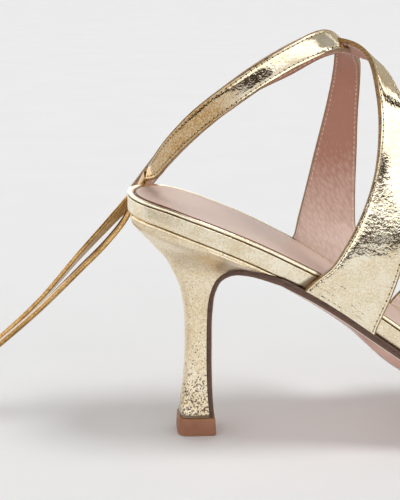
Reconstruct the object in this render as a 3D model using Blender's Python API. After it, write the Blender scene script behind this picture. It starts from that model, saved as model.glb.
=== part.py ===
"""High-heeled ankle-tie sandal for the right foot, as closed solids in metres.

The toe points along +X, the outer side of the foot lies towards -Y and the floor is z = 0.
Sizes are in millimetres, measured from the back of the heel seat, until an object is made.
"""
import math
from collections import namedtuple

import bmesh
import bpy
import numpy as np

MM = 0.001
GAP = 0.3                  # clearance between pieces that meet
SHOE_LENGTH = 222.0        # heel seat to toe, seen from above
BOARD_THICK = 6.7          # wrapped board, measured square to its surface
BOARD_EDGE = 0.7           # bevel of the board's lower edge
BOARD_RIM = 1.2            # rounding of the board's upper edge
SOCK_INSET = 2.7           # border left round the sock
SOCK_SEAT = 1.1            # depth of the seat that the sock lies in
SOCK_THICK = 0.9
SOCK_EDGE = 0.45           # rounding of the sock's edge
SOLE_THICK = 2.8           # outsole under the forefoot
SOLE_EDGE = 0.4            # bevel of the outsole's lower edge
SOLE_MARGIN = 1.7          # outsole beyond the board, so that the straps stand on it
SHOULDER = 5.0             # width of the slope from the outsole's edge down to its full thickness
WAIST_FRONT = 140.0        # ahead of this the outsole has its full thickness
WAIST_BACK = 95.0          # behind this it is as thin as the top of the breast flap
HEEL_ROUND = 28.0          # length of the round heel end of the outline
TOE_ROUND = 48.0           # length of the round toe end of the outline
HEEL_INSET = 0.5           # heel block inside the board's outline
HEEL_BACK = 1.0            # ends of the heel block's top, under the board
HEEL_FRONT = 47.2
TIP_HEIGHT = 6.5
TIP_BACK = 16.4
TIP_FRONT = 29.8
TIP_HALF = 6.7
TIP_EDGE = 0.6             # rounding of the tip's edges
TIP_POWER = 6.0            # squareness of the tip's D shape
STRAP_THICK = 1.8
STRAP_CLEAR = 0.1          # a strap's extra clearance from the board's wall
STRAP_STAND = 0.5          # a strap's foot above the outsole
TIE_THICK = 1.6
STATIONS = 56              # cross-sections along the board and the sole
FLAP_STATIONS = 28
HEEL_STATIONS = 26
RING_POINTS = 13           # along one side of a D-shaped loop
STRAP_FACETS = 5           # over a strap's width
TIE_FACETS = 2             # over a tie's width
SHARP_ANGLE = math.radians(40.0)

Level = namedtuple("Level", "x z")
BOARD_UNDERSIDE = [Level(*row) for row in (
    (0, 80.6), (10, 78.8), (20, 75.6), (30, 71.6), (40, 67.1), (50, 62.0), (60, 56.5),
    (70, 50.0), (80, 42.8), (90, 35.7), (100, 28.8), (110, 22.2), (120, 16.2), (130, 11.0),
    (140, 6.9), (148, 4.4), (156, 3.1), (181, 3.1), (200, 4.7), (226, 9.1))]

Outline = namedtuple("Outline", "x centre half")
OUTLINE = [Outline(*row) for row in (
    (28, 0.0, 26.0), (40, 0.0, 26.4), (55, 0.0, 25.8), (70, -0.6, 24.7), (85, -1.3, 24.1),
    (100, -1.9, 25.0), (120, -2.1, 28.8), (140, -1.5, 34.0), (158, -0.3, 37.2), (174, 1.0, 36.4))]

Crown = namedtuple("Crown", "x drop")
SOLE_CROWN = [Crown(*row) for row in (
    (48, 0.0), (54, 0.7), (62, 1.0), (68, 1.2), (75, 1.4), (79, 2.0), (83, 2.7), (87, 3.3),
    (91, 3.5), (96, 3.2), (103, 2.0), (112, 1.1), (125, 0.6), (140, 0.2), (150, 0.0), (226, 0.0))]

Flap = namedtuple("Flap", "x z half thick")
BREAST_FLAP = [Flap(*row) for row in (
    (44.5, 63.0, 24.0, 2.2), (39.0, 62.9, 18.6, 1.9), (34.0, 61.4, 13.0, 1.7),
    (30.2, 58.3, 9.6, 1.6), (27.9, 53.0, 7.4, 1.6), (27.0, 46.0, 6.4, 1.6),
    (26.8, 34.0, 5.9, 1.6), (26.9, 22.0, 5.9, 1.6), (27.3, 13.0, 6.1, 1.6),
    (27.9, 6.8, 6.4, 1.6))]

Ring = namedtuple("Ring", "back_x back_z front_x front_z half power")
HEEL_RINGS = [Ring(*row) for row in (
    (1.3, 76.9, 42.9, 63.4, 22.8, 2.6), (4.8, 72.8, 37.6, 63.0, 16.8, 2.5),
    (8.7, 68.4, 33.2, 61.4, 12.3, 2.4), (12.7, 63.7, 29.7, 58.2, 9.3, 2.3),
    (15.7, 58.0, 27.6, 53.0, 7.3, 2.3), (17.7, 53.0, 26.8, 48.4, 6.5, 2.3),
    (18.9, 46.0, 26.5, 43.0, 6.0, 2.3), (19.3, 38.0, 26.4, 36.4, 5.8, 2.3),
    (19.2, 28.0, 26.4, 27.4, 5.8, 2.5), (18.6, 19.0, 26.6, 18.8, 5.9, 3.0),
    (17.8, 12.0, 27.0, 12.0, 6.1, 3.8), (17.1, 6.8, 27.5, 6.8, 6.4, 4.8))]

# Strap rows: centre, width, and the way the outer face looks (turn about z, tip above level, degrees).
# hug is 1 where the strap lies against the board's wall and 0 where it is free.
Fold = namedtuple("Fold", "x y z width turn tip hug")
OUTER_STRAP = [Fold(*row) for row in (
    (68.5, -27.0, 51.1, 30.0, -91, 0, 1), (74.8, -27.1, 59.5, 23.4, -94, 1, 0.7),
    (79.0, -27.6, 69.3, 19.8, -98, 3, 0), (82.8, -27.4, 81.2, 16.6, -98, 7, 0),
    (86.0, -26.4, 95.5, 14.8, -92, 12, 0), (86.0, -24.0, 109.2, 13.0, -73, 21, 0),
    (83.8, -19.5, 121.6, 10.6, -51, 35, 0), (79.8, -12.5, 132.2, 9.2, -16, 40, 0),
    (72.0, -2.7, 135.5, 8.6, 32, 54, 0), (65.9, 9.6, 133.3, 8.2, 65, 51, 0),
    (55.5, 16.2, 127.0, 7.9, 82, 24, 0), (44.0, 20.8, 120.6, 7.7, 92, 10, 0),
    (33.0, 23.6, 112.0, 7.4, 98, 4, 0), (23.5, 25.6, 103.4, 7.0, 102, 0, 0),
    (13.4, 26.2, 92.8, 6.5, 106, 0, 0), (4.6, 25.4, 82.1, 5.9, 110, 0, 0))]
INNER_STRAP = [Fold(*row) for row in (
    (68.8, 26.0, 51.1, 28.0, 90, 0, 1), (73.0, 26.2, 59.6, 24.6, 90, 0, 0.7),
    (74.2, 27.0, 69.6, 21.3, 89, 3, 0), (75.5, 27.6, 81.0, 18.2, 86, 6, 0),
    (77.1, 27.2, 95.8, 15.0, 82, 10, 0), (78.2, 24.8, 110.0, 11.8, 76, 18, 0),
    (78.3, 19.5, 122.0, 10.0, 66, 35, 0), (76.5, 10.0, 130.3, 9.0, 48, 43, 0),
    (73.5, 0.1, 135.8, 8.6, -33, 55, 0), (65.0, -9.8, 137.7, 8.1, -68, 38, 0),
    (55.0, -14.4, 134.5, 7.9, -92, -3, 0), (44.0, -17.6, 129.0, 7.8, -99, -10, 0),
    (33.0, -16.6, 121.3, 7.6, -105, -7, 0), (24.0, -11.2, 113.3, 7.3, -113, -1, 0),
    (16.6, -3.0, 104.2, 6.9, -120, 4, 0), (12.2, 6.0, 96.8, 6.5, -128, 10, 0),
    (9.6, 12.3, 91.9, 6.1, -138, 16, 0), (8.2, 15.5, 90.6, 5.7, -156, 28, 0))]
FRONT_STRAP = [Fold(*row) for row in (
    (103.0, -28.4, 27.2, 21.0, -90, 0, 1), (108.4, -28.8, 35.4, 18.5, -90, 1, 0.7),
    (116.6, -30.0, 42.8, 15.8, -84, 10, 0), (127.4, -28.0, 49.2, 13.6, -74, 32, 0),
    (137.2, -16.6, 54.2, 12.2, -50, 60, 0), (141.2, -1.2, 55.8, 11.8, 0, 68, 0),
    (137.2, 14.2, 54.2, 12.2, 50, 60, 0), (127.4, 24.8, 49.2, 13.6, 74, 32, 0),
    (116.6, 26.4, 42.8, 15.8, 84, 10, 0), (108.4, 25.0, 35.4, 18.5, 90, 1, 0.7),
    (103.0, 24.6, 27.2, 21.0, 90, 0, 1))]
FAR_TIE = [Fold(*row) for row in (
    (3.7, 25.2, 80.9, 5, 114, 10, 0), (-5.5, 24.0, 71.3, 5, 126, 34, 0),
    (-16.4, 23.0, 59.9, 5, 138, 48, 0), (-30.7, 22.4, 43.9, 5, 150, 58, 0),
    (-45.9, 22.2, 30.0, 5, 160, 66, 0), (-62.0, 22.4, 17.2, 5, 170, 74, 0),
    (-78.0, 23.0, 7.4, 5, 180, 82, 0), (-93.0, 24.2, 2.0, 5, 180, 88, 0),
    (-107.0, 25.8, 0.9, 5, 180, 90, 0), (-120.0, 30.0, 0.9, 5, 180, 90, 0),
    (-129.0, 39.0, 0.9, 5, 180, 90, 0), (-131.0, 51.0, 0.9, 5, 180, 90, 0),
    (-124.0, 62.0, 0.9, 5, 180, 90, 0), (-111.0, 68.0, 0.9, 5, 180, 90, 0),
    (-96.0, 70.0, 0.9, 5, 180, 90, 0), (-80.0, 69.0, 0.9, 5, 180, 90, 0))]
NEAR_TIE = [Fold(*row) for row in (
    (7.4, 17.1, 89.5, 5, -160, 29, 0), (5.4, 19.2, 85.6, 5, -172, 30, 0), (2.8, 19.4, 79.4, 5, -176, 34, 0),
    (-0.4, 18.6, 73.4, 5, -178, 40, 0), (-6.6, 17.2, 66.0, 5, -178, 46, 0),
    (-16.6, 15.4, 56.4, 5, -178, 55, 0), (-31.2, 14.0, 42.6, 5, -180, 62, 0),
    (-45.7, 13.0, 30.4, 5, -180, 66, 0), (-62.0, 12.2, 17.4, 5, -180, 74, 0),
    (-78.0, 11.4, 7.4, 5, -180, 82, 0), (-93.0, 10.4, 2.0, 5, -180, 88, 0),
    (-107.0, 8.6, 0.9, 5, -180, 90, 0), (-120.0, 4.0, 0.9, 5, -180, 90, 0),
    (-129.0, -5.0, 0.9, 5, -180, 90, 0), (-131.0, -17.0, 0.9, 5, -180, 90, 0),
    (-124.0, -28.0, 0.9, 5, -180, 90, 0), (-111.0, -34.0, 0.9, 5, -180, 90, 0),
    (-96.0, -36.0, 0.9, 5, -180, 90, 0), (-80.0, -35.0, 0.9, 5, -180, 90, 0))]

# How each piece looks: linear colour, roughness and metallic value.
Look = namedtuple("Look", "red green blue roughness metallic")
GOLD_LEATHER = Look(0.62, 0.50, 0.30, 0.35, 0.90)
LOOKS = {
    "insole_board": GOLD_LEATHER,
    "insole_sock": Look(0.60, 0.43, 0.38, 0.60, 0.0),
    "outsole": Look(0.13, 0.07, 0.05, 0.40, 0.0),
    "heel": GOLD_LEATHER,
    "heel_tip": Look(0.28, 0.13, 0.07, 0.55, 0.0),
    "cross_straps": GOLD_LEATHER,
    "front_strap": GOLD_LEATHER,
    "tie_far": GOLD_LEATHER,
    "tie_near": GOLD_LEATHER}
CORDS = ("tie_far", "tie_near")


def monotone(knots, values, x):
    """Cubic through the knots that never overshoots them."""
    knots = np.asarray(knots, float)
    values = np.asarray(values, float)
    step = np.diff(knots)
    rate = np.diff(values) / step
    slope = np.empty_like(values)
    slope[0] = rate[0]
    slope[-1] = rate[-1]
    for i in range(1, len(knots) - 1):
        a, b = rate[i - 1], rate[i]
        slope[i] = 2.0 * a * b / (a + b) if a * b > 0.0 else 0.0
    i = np.clip(np.searchsorted(knots, x) - 1, 0, len(step) - 1)
    t = (np.asarray(x, float) - knots[i]) / step[i]
    return hermite(t, step[i], values[i], values[i + 1], slope[i], slope[i + 1])


def hermite(t, span, start, end, start_slope, end_slope):
    """Cubic from start to end over a span, with the slope given at each end."""
    return ((1 + 2 * t) * (1 - t) ** 2 * start + t * (1 - t) ** 2 * span * start_slope
            + t * t * (3 - 2 * t) * end + t * t * (t - 1) * span * end_slope)


def smooth_rows(rows, count):
    """Smooth curve through table rows, spaced by distance along x, y, z; one array per sample."""
    data = np.array(rows, float)
    span = np.linalg.norm(np.diff(data[:, :3], axis=0), axis=1)
    at = np.concatenate([[0.0], np.cumsum(span)])
    slope = np.gradient(data, at, axis=0)
    out = []
    for s in np.linspace(0.0, at[-1], count):
        i = min(int(np.searchsorted(at, s, side="right")) - 1, len(span) - 1)
        t = (s - at[i]) / span[i]
        out.append(hermite(t, span[i], data[i], data[i + 1], slope[i], slope[i + 1]))
    return np.array(out)


def unit(vectors):
    """The same vectors at length one."""
    return vectors / np.linalg.norm(vectors, axis=1)[:, None]


def underside(x):
    """Height of the board's underside on its centre line."""
    return monotone([r.x for r in BOARD_UNDERSIDE], [r.z for r in BOARD_UNDERSIDE], x)


def slope_at(x):
    """Rise of the board's underside per millimetre forward."""
    return underside(x + 0.5) - underside(x - 0.5)


def upright(x):
    """Height of one millimetre of thickness, measured upright, where the board slopes."""
    return np.sqrt(1.0 + slope_at(x) ** 2)


def outline(x, margin=0.0):
    """Centre and half-width of the board seen from above; margin widens it past the round heel end."""
    first, last = OUTLINE[0], OUTLINE[-1]
    inner = np.clip(x, first.x, last.x)
    centre = monotone([r.x for r in OUTLINE], [r.centre for r in OUTLINE], inner)
    half = monotone([r.x for r in OUTLINE], [r.half for r in OUTLINE], inner)
    back = np.clip((first.x - x) / HEEL_ROUND, 0.0, 1.0)
    front = np.clip((x - last.x) / (TOE_ROUND + np.max(margin)), 0.0, 1.0)
    half = (half + margin) * np.sqrt(1.0 - back ** 2) * (1.0 - front ** 2.3) ** (1 / 2.1)
    return centre + 2.0 * front ** 2, half


def even_stations(start, end, count):
    """Positions from end to end, closer together at both ends."""
    return start + (end - start) * 0.5 * (1.0 - np.cos(np.pi * np.linspace(0.0, 1.0, count)))


def add_object(name, verts, faces):
    """Smooth mesh object with outward faces and its own material."""
    mesh = bpy.data.meshes.new(name)
    mesh.from_pydata([tuple(v) for v in np.asarray(verts, float) * MM], [], faces)
    bm = bmesh.new()
    bm.from_mesh(mesh)
    bmesh.ops.recalc_face_normals(bm, faces=bm.faces)
    bm.to_mesh(mesh)
    bm.free()
    mesh.shade_smooth()
    mesh.set_sharp_from_angle(angle=SHARP_ANGLE)
    obj = bpy.data.objects.new(name, mesh)
    bpy.context.scene.collection.objects.link(obj)
    look = LOOKS.get(name, GOLD_LEATHER)
    material = bpy.data.materials.new(name)
    material.use_nodes = True
    shader = material.node_tree.nodes["Principled BSDF"]
    shader.inputs["Base Color"].default_value = (look.red, look.green, look.blue, 1.0)
    shader.inputs["Roughness"].default_value = look.roughness
    shader.inputs["Metallic"].default_value = look.metallic
    mesh.materials.append(material)
    return obj


def plate(name, line, across, depth, layers):
    """Closed plate from stations along a side-view line.

    line: x, z of each station; across: y of its two edges; depth: x, z of one millimetre of thickness.
    layers: (inset, rise) of each loop round the plate, from one face to the other, as numbers or as
    functions of the station.
    The first and last stations may be points (both edges at one y).
    """
    n = len(line)
    tangent = unit(np.gradient(line, axis=0))
    steps = np.linalg.norm(np.diff(line, axis=0), axis=1)
    reach = np.concatenate([[0.0], np.cumsum(steps)])
    pointed = [abs(across[i, 0] - across[i, 1]) < 1e-6 for i in (0, n - 1)]
    chain = [(i, 0) for i in range(n)]
    chain += [(i, 1) for i in range(n - 1 - pointed[1], pointed[0] - 1, -1)]
    flat = np.array([(reach[i], across[i, e]) for i, e in chain])
    ahead = unit(np.roll(flat, -1, axis=0) - flat)
    mean = ahead + np.roll(ahead, 1, axis=0)
    normal = unit(np.stack([-mean[:, 1], mean[:, 0]], axis=1))
    if np.sum((flat.mean(axis=0) - flat) * normal) < 0:
        normal = -normal
    verts = []
    for inset, rise in layers:
        for k, (i, e) in enumerate(chain):
            lift = rise(i) if callable(rise) else rise
            shift = inset(i) if callable(inset) else inset
            xz = line[i] + tangent[i] * shift * normal[k, 0] + depth[i] * lift
            verts.append((xz[0], across[i, e] + shift * normal[k, 1], xz[1]))
    size = len(chain)
    where = {key: k for k, key in enumerate(chain)}
    for i, tip in ((0, pointed[0]), (n - 1, pointed[1])):
        if tip:
            where[(i, 1)] = where[(i, 0)]
    faces = []
    for layer in range(len(layers) - 1):
        for k in range(size):
            a, b = layer * size + k, layer * size + (k + 1) % size
            faces.append((a, b, b + size, a + size))
    for base in (0, (len(layers) - 1) * size):
        for i in range(n - 1):
            loop = [where[(i, 0)], where[(i + 1, 0)], where[(i + 1, 1)], where[(i, 1)]]
            faces.append(tuple(base + v for v in dict.fromkeys(loop)))
    return add_object(name, verts, faces)


def build_board():
    """Wrapped insole board with a rounded upper edge and a seat for the sock."""
    x = even_stations(0.0, SHOE_LENGTH, STATIONS)
    centre, half = outline(x)
    line = np.stack([x, underside(x)], axis=1)
    across = np.stack([centre - half, centre + half], axis=1)
    up = np.stack([np.zeros_like(x), upright(x)], axis=1)
    top = BOARD_THICK
    border = SOCK_INSET - GAP
    layers = ((BOARD_EDGE, 0.0), (0.0, BOARD_EDGE), (0.0, top - BOARD_RIM),
              (0.3 * BOARD_RIM, top - 0.3 * BOARD_RIM), (BOARD_RIM, top),
              (border - 0.3, top - 0.2), (border, top - SOCK_SEAT))
    return plate("insole_board", line, across, up, layers)


def build_sock():
    """Sock lining on the board, inside its border."""
    x = even_stations(0.0, SHOE_LENGTH, STATIONS)
    centre, half = outline(x)
    line = np.stack([x, underside(x) + (BOARD_THICK - SOCK_SEAT) * upright(x) + GAP], axis=1)
    across = np.stack([centre - half, centre + half], axis=1)
    up = np.stack([np.zeros_like(x), upright(x)], axis=1)
    layers = ((SOCK_INSET, 0.0), (SOCK_INSET, SOCK_THICK - SOCK_EDGE), (SOCK_INSET + SOCK_EDGE, SOCK_THICK))
    return plate("insole_sock", line, across, up, layers)


def sole_top(x):
    """Height of the outsole's upper face below the board."""
    return underside(x) - GAP * upright(x)


def sole_stations():
    """x, z of the upper line, half-width, centre and thickness, from the toe to the foot of the flap."""
    first = BREAST_FLAP[0]
    toe = SHOE_LENGTH + SOLE_MARGIN
    x = even_stations(toe, 2 * first.x - toe, 2 * STATIONS)
    x = x[x > first.x + 4.0]
    centre, half = outline(x, SOLE_MARGIN * np.clip((x - first.x) / 10.0, 0.2, 1.0))
    ahead = np.clip((x - WAIST_BACK) / (WAIST_FRONT - WAIST_BACK), 0.0, 1.0)
    thick = first.thick + (SOLE_THICK - first.thick) * ahead ** 2 * (3.0 - 2.0 * ahead)
    part = np.stack([x, sole_top(x), half, centre, thick], axis=1)
    rows = [(row.x, row.z, row.half, 0.0, row.thick) for row in BREAST_FLAP]
    joined = [(row[0], row[1], 0.0, row[2], row[3], row[4]) for row in [part[-1]] + rows]
    flap = smooth_rows(joined, FLAP_STATIONS)[1:]
    return np.concatenate([part, flap[:, (0, 1, 3, 4, 5)]])


def crown(x):
    """How far the outsole's underside drops from its edge to its middle, where the shank meets the tread."""
    inner = np.clip(x, SOLE_CROWN[0].x, SOLE_CROWN[-1].x)
    return monotone([r.x for r in SOLE_CROWN], [r.drop for r in SOLE_CROWN], inner)


def build_outsole():
    """Outsole with its flap down the front of the heel."""
    data = sole_stations()
    line = data[:, :2]
    across = np.stack([data[:, 3] - data[:, 2], data[:, 3] + data[:, 2]], axis=1)
    tangent = unit(np.gradient(line, axis=0))
    down = np.stack([-tangent[:, 1], tangent[:, 0]], axis=1)
    thick = data[:, 4]
    drop = crown(line[:, 0])
    shoulder = np.minimum(SHOULDER, 0.4 * data[:, 2] + SOLE_EDGE)
    layers = ((GAP, 0.0), (0.0, GAP), (0.0, lambda i: thick[i] - SOLE_EDGE), (SOLE_EDGE, lambda i: thick[i]),
              (lambda i: shoulder[i], lambda i: thick[i] + drop[i]))
    return plate("outsole", line, across, down, layers)


def mirrored_loop(x, half, z):
    """Loop along the near side from the back, across the flat front and home along the far side."""
    near = [(a, -b, c) for a, b, c in zip(x, half, z)]
    far = [(a, b, c) for a, b, c in zip(x[1:], half[1:], z[1:])]
    front = [(x[-1], half[-1] * share, z[-1]) for share in (-0.5, 0.0, 0.5)]
    return near + front + far[::-1]


def round_share():
    """Shares of the way from the round back (0) to the flat front (1), close together at the back."""
    return 1.0 - np.cos(np.linspace(0.0, math.pi / 2.0, RING_POINTS))


def ring_loop(back, front, half, power):
    """D-shaped loop between a back point and a front point, each x, z."""
    s = round_share()
    side = half * (1.0 - (1.0 - s) ** power) ** (1.0 / power)
    return mirrored_loop(back[0] + s * (front[0] - back[0]), side, back[1] + s * (front[1] - back[1]))


def loft(name, loops):
    """Closed body through D-shaped loops, each end closed by strips from side to side."""
    size = len(loops[0])
    last = RING_POINTS - 1
    verts = [v for loop in loops for v in loop]
    faces = []
    for a in range(len(loops) - 1):
        for k in range(size):
            i, j = a * size + k, a * size + (k + 1) % size
            faces.append((i, j, j + size, i + size))
    for base in (0, (len(loops) - 1) * size):
        faces.append((base, base + 1, base + size - 1))
        for k in range(1, last):
            faces.append((base + k, base + k + 1, base + size - k - 1, base + size - k))
        faces.append(tuple(base + k for k in range(last, last + 5)))
    return add_object(name, verts, faces)


def build_heel():
    """Heel block: its top lies under the board's curve, its front along the flap."""
    x = HEEL_BACK + (HEEL_FRONT - HEEL_BACK) * round_share()
    half = outline(x)[1] - HEEL_INSET
    half[0] = 0.0
    loops = [mirrored_loop(x, half, sole_top(x))]
    rows = [(r.back_x, 0.0, r.back_z, r.front_x, r.front_z, r.half, r.power) for r in HEEL_RINGS]
    for back_x, _, back_z, front_x, front_z, ring_half, power in smooth_rows(rows, HEEL_STATIONS):
        loops.append(ring_loop((back_x, back_z), (front_x, front_z), ring_half, power))
    return loft("heel", loops)


def build_tip():
    """Rubber top piece with a flat underside."""
    loops = []
    for inset, z in ((TIP_EDGE, 0.0), (0.0, TIP_EDGE), (0.0, TIP_HEIGHT - TIP_EDGE), (TIP_EDGE, TIP_HEIGHT)):
        back, front = (TIP_BACK + inset, z), (TIP_FRONT - inset, z)
        loops.append(ring_loop(back, front, TIP_HALF - inset, TIP_POWER))
    return loft("heel_tip", loops)


def strap_solid(name, rows, thick, count, facets=STRAP_FACETS, stand=()):
    """Flat strap swept through its fold rows; stand lists the ends (0, -1) cut to the outsole's surface."""
    data = smooth_rows(rows, count)
    centre = data[:, :3]
    tangent = unit(np.gradient(centre, axis=0))
    turn, tip = np.radians(data[:, 4]), np.radians(data[:, 5])
    face = np.stack([np.cos(tip) * np.cos(turn), np.cos(tip) * np.sin(turn), np.sin(tip)], axis=1)
    face = unit(face - tangent * np.sum(face * tangent, axis=1)[:, None])
    wide = np.cross(tangent, face)
    share = np.linspace(-0.5, 0.5, facets + 1)
    feet = [end % count for end in stand]
    edge = 0.25 * thick
    verts = []
    for k in range(count):
        points = centre[k] + np.outer(share * (data[k, 3] - 2 * edge), wide[k])
        hug = float(np.clip(data[k, 6], 0.0, 1.0))
        middle, half = outline(points[:, 0])
        wall = middle + math.copysign(1.0, centre[k, 1]) * (half + GAP + STRAP_CLEAR + 0.5 * thick)
        points[:, 1] += hug * (wall - points[:, 1])
        if k in feet:
            points[:, 2] = sole_top(points[:, 0]) + STRAP_STAND
        out = face[k] * 0.5 * thick
        lip = wide[k] * edge
        verts += [*(points + out), points[-1] + lip + 0.5 * out, points[-1] + lip - 0.5 * out]
        verts += [*(points - out)[::-1], points[0] - lip - 0.5 * out, points[0] - lip + 0.5 * out]
    m = len(share)
    size = 2 * m + 4
    faces = []
    for k in range(count - 1):
        for j in range(size):
            a, b = k * size + j, k * size + (j + 1) % size
            faces.append((a, b, b + size, a + size))
    for base in (0, (count - 1) * size):
        for j in range(m - 1):
            faces.append((base + j, base + j + 1, base + 2 * m - j, base + 2 * m + 1 - j))
        faces.append(tuple(base + j for j in (m - 1, m, m + 1, m + 2)))
        faces.append(tuple(base + j for j in (2 * m + 1, 2 * m + 2, 2 * m + 3, 0)))
    return add_object(name, verts, faces)


def build_straps():
    """Both straps joined where they cross over the instep."""
    outer = strap_solid("cross_straps", OUTER_STRAP, STRAP_THICK, 50, stand=(0,))
    inner = strap_solid("inner_strap", INNER_STRAP, STRAP_THICK, 52, stand=(0,))
    join = outer.modifiers.new("join", "BOOLEAN")
    join.operation = "UNION"
    join.solver = "EXACT"
    join.object = inner
    bpy.context.view_layer.objects.active = outer
    bpy.ops.object.modifier_apply(modifier=join.name)
    bpy.data.objects.remove(inner)
    return outer


def settle(objects):
    """Hang the pieces on an empty that centres the shoe without its ties over the origin, on the floor."""
    body = [obj for obj in objects if obj.name not in CORDS]
    points = np.array([v.co for obj in body for v in obj.data.vertices])
    low, high = points.min(axis=0), points.max(axis=0)
    sandal = bpy.data.objects.new("sandal", None)
    bpy.context.scene.collection.objects.link(sandal)
    sandal.location = (-(low[0] + high[0]) / 2.0, -(low[1] + high[1]) / 2.0, -low[2])
    for obj in objects:
        obj.parent = sandal


def main():
    for obj in list(bpy.data.objects):
        bpy.data.objects.remove(obj)
    objects = [build_board(), build_sock(), build_outsole(), build_heel(), build_tip(), build_straps()]
    objects.append(strap_solid("front_strap", FRONT_STRAP, STRAP_THICK, 33, stand=(0, -1)))
    objects.append(strap_solid("tie_far", FAR_TIE, TIE_THICK, 52, TIE_FACETS))
    objects.append(strap_solid("tie_near", NEAR_TIE, TIE_THICK, 56, TIE_FACETS))
    settle(objects)


main()
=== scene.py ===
"""Looks of a high-heeled ankle-tie sandal in pale gold foil leather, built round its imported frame.

Sizes in the tables are millimetres from the back of the heel seat: +X to the toe, -Y to the outer side.
"""
import math
from collections import namedtuple
from contextlib import contextmanager

import bpy
import numpy as np
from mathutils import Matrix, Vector


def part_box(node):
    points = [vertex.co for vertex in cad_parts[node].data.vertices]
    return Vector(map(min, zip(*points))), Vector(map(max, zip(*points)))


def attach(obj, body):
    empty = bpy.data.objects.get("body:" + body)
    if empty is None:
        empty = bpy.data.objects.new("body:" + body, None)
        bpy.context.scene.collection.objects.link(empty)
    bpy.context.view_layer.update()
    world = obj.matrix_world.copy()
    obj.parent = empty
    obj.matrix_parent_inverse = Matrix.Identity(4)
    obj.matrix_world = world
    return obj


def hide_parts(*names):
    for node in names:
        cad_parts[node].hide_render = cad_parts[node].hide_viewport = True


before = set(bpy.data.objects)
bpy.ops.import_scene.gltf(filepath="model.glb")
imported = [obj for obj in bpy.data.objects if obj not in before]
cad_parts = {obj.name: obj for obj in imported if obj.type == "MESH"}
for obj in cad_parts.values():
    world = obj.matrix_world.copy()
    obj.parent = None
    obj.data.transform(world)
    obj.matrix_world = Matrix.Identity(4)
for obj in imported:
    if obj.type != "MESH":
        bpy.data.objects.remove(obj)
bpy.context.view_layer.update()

bl_info = {
    "name": "Ankle-tie sandal",
    "version": (1, 0, 0),
    "blender": (4, 5, 0),
    "location": "View3D > Sidebar > Sandal",
    "description": "Dresses a high-heeled sandal's frame in foil leather, lining, stitching and edge paint",
    "category": "Object",
}

MM = 0.001
TIP_LOW, TIP_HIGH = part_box("heel_tip")
HEEL_SEAT_BACK = np.array([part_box("insole_board")[0].x, (TIP_LOW.y + TIP_HIGH.y) / 2.0, 0.0])

# The shoe's own sizes, as in the frame's source; FOOT_REACH is how far up a strap its foot bends and creases.
GAP = 0.3
SHOE_LENGTH = 222.0
BOARD_THICK = 6.7
SOCK_INSET = 2.7
SOCK_SEAT = 1.1
SOCK_THICK = 0.9
SOLE_THICK = 2.8
SOLE_MARGIN = 1.7
SHOULDER = 5.0
WAIST_FRONT = 140.0
WAIST_BACK = 95.0
HEEL_ROUND = 28.0
TOE_ROUND = 48.0
HEEL_INSET = 0.5
HEEL_BACK = 1.0
HEEL_FRONT = 47.2
TIP_HEIGHT = 6.5
TIP_BACK = 16.4
TIP_FRONT = 29.8
TIP_HALF = 6.7
TIP_POWER = 6.0
TOE_POWER = 2.3
TOE_BLUNT = 2.1
TOE_TURN = 2.0
STRAP_CLEAR = 0.1
STRAP_STAND = 0.15
FOOT_REACH = 14.0
SEATED = -0.25

# Points this near each other, in metres, are one.
SEWN = 2e-6

# The bead's height above the board, the round of a cut edge, and how far paint runs over each face.
BEAD_STAND = 0.15
EDGE_ROUND = 0.4
RIM_OVER_FOIL = 0.22
RIM_OVER_LINING = 0.5

Level = namedtuple("Level", "x z")
BOARD_UNDERSIDE = [Level(*row) for row in (
    (0, 80.6), (10, 78.8), (20, 75.6), (30, 71.6), (40, 67.1), (50, 62.0), (60, 56.5),
    (70, 50.0), (80, 42.8), (90, 35.7), (100, 28.8), (110, 22.2), (120, 16.2), (130, 11.0),
    (140, 6.9), (148, 4.4), (156, 3.1), (181, 3.1), (200, 4.7), (226, 9.1))]

Outline = namedtuple("Outline", "x centre half")
OUTLINE = [Outline(*row) for row in (
    (28, 0.0, 26.0), (40, 0.0, 26.4), (55, 0.0, 25.8), (70, -0.6, 24.7), (85, -1.3, 24.1),
    (100, -1.9, 25.0), (120, -2.1, 28.8), (140, -1.5, 34.0), (158, -0.3, 37.2), (174, 1.0, 36.4))]

Crown = namedtuple("Crown", "x drop")
SOLE_CROWN = [Crown(*row) for row in (
    (48, 0.0), (54, 0.7), (62, 1.0), (68, 1.2), (75, 1.4), (79, 2.0), (83, 2.7), (87, 3.3),
    (91, 3.5), (96, 3.2), (103, 2.0), (112, 1.1), (125, 0.6), (140, 0.2), (150, 0.0), (226, 0.0))]

Flap = namedtuple("Flap", "x z half thick")
BREAST_FLAP = [Flap(*row) for row in (
    (44.5, 63.0, 24.0, 2.2), (39.0, 62.9, 18.6, 1.9), (34.0, 61.4, 13.0, 1.7),
    (30.2, 58.3, 9.6, 1.6), (27.9, 53.0, 7.4, 1.6), (27.0, 46.0, 6.4, 1.6),
    (26.8, 34.0, 5.9, 1.6), (26.9, 22.0, 5.9, 1.6), (27.3, 13.0, 6.1, 1.6),
    (27.9, 6.8, 6.4, 1.6))]

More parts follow.
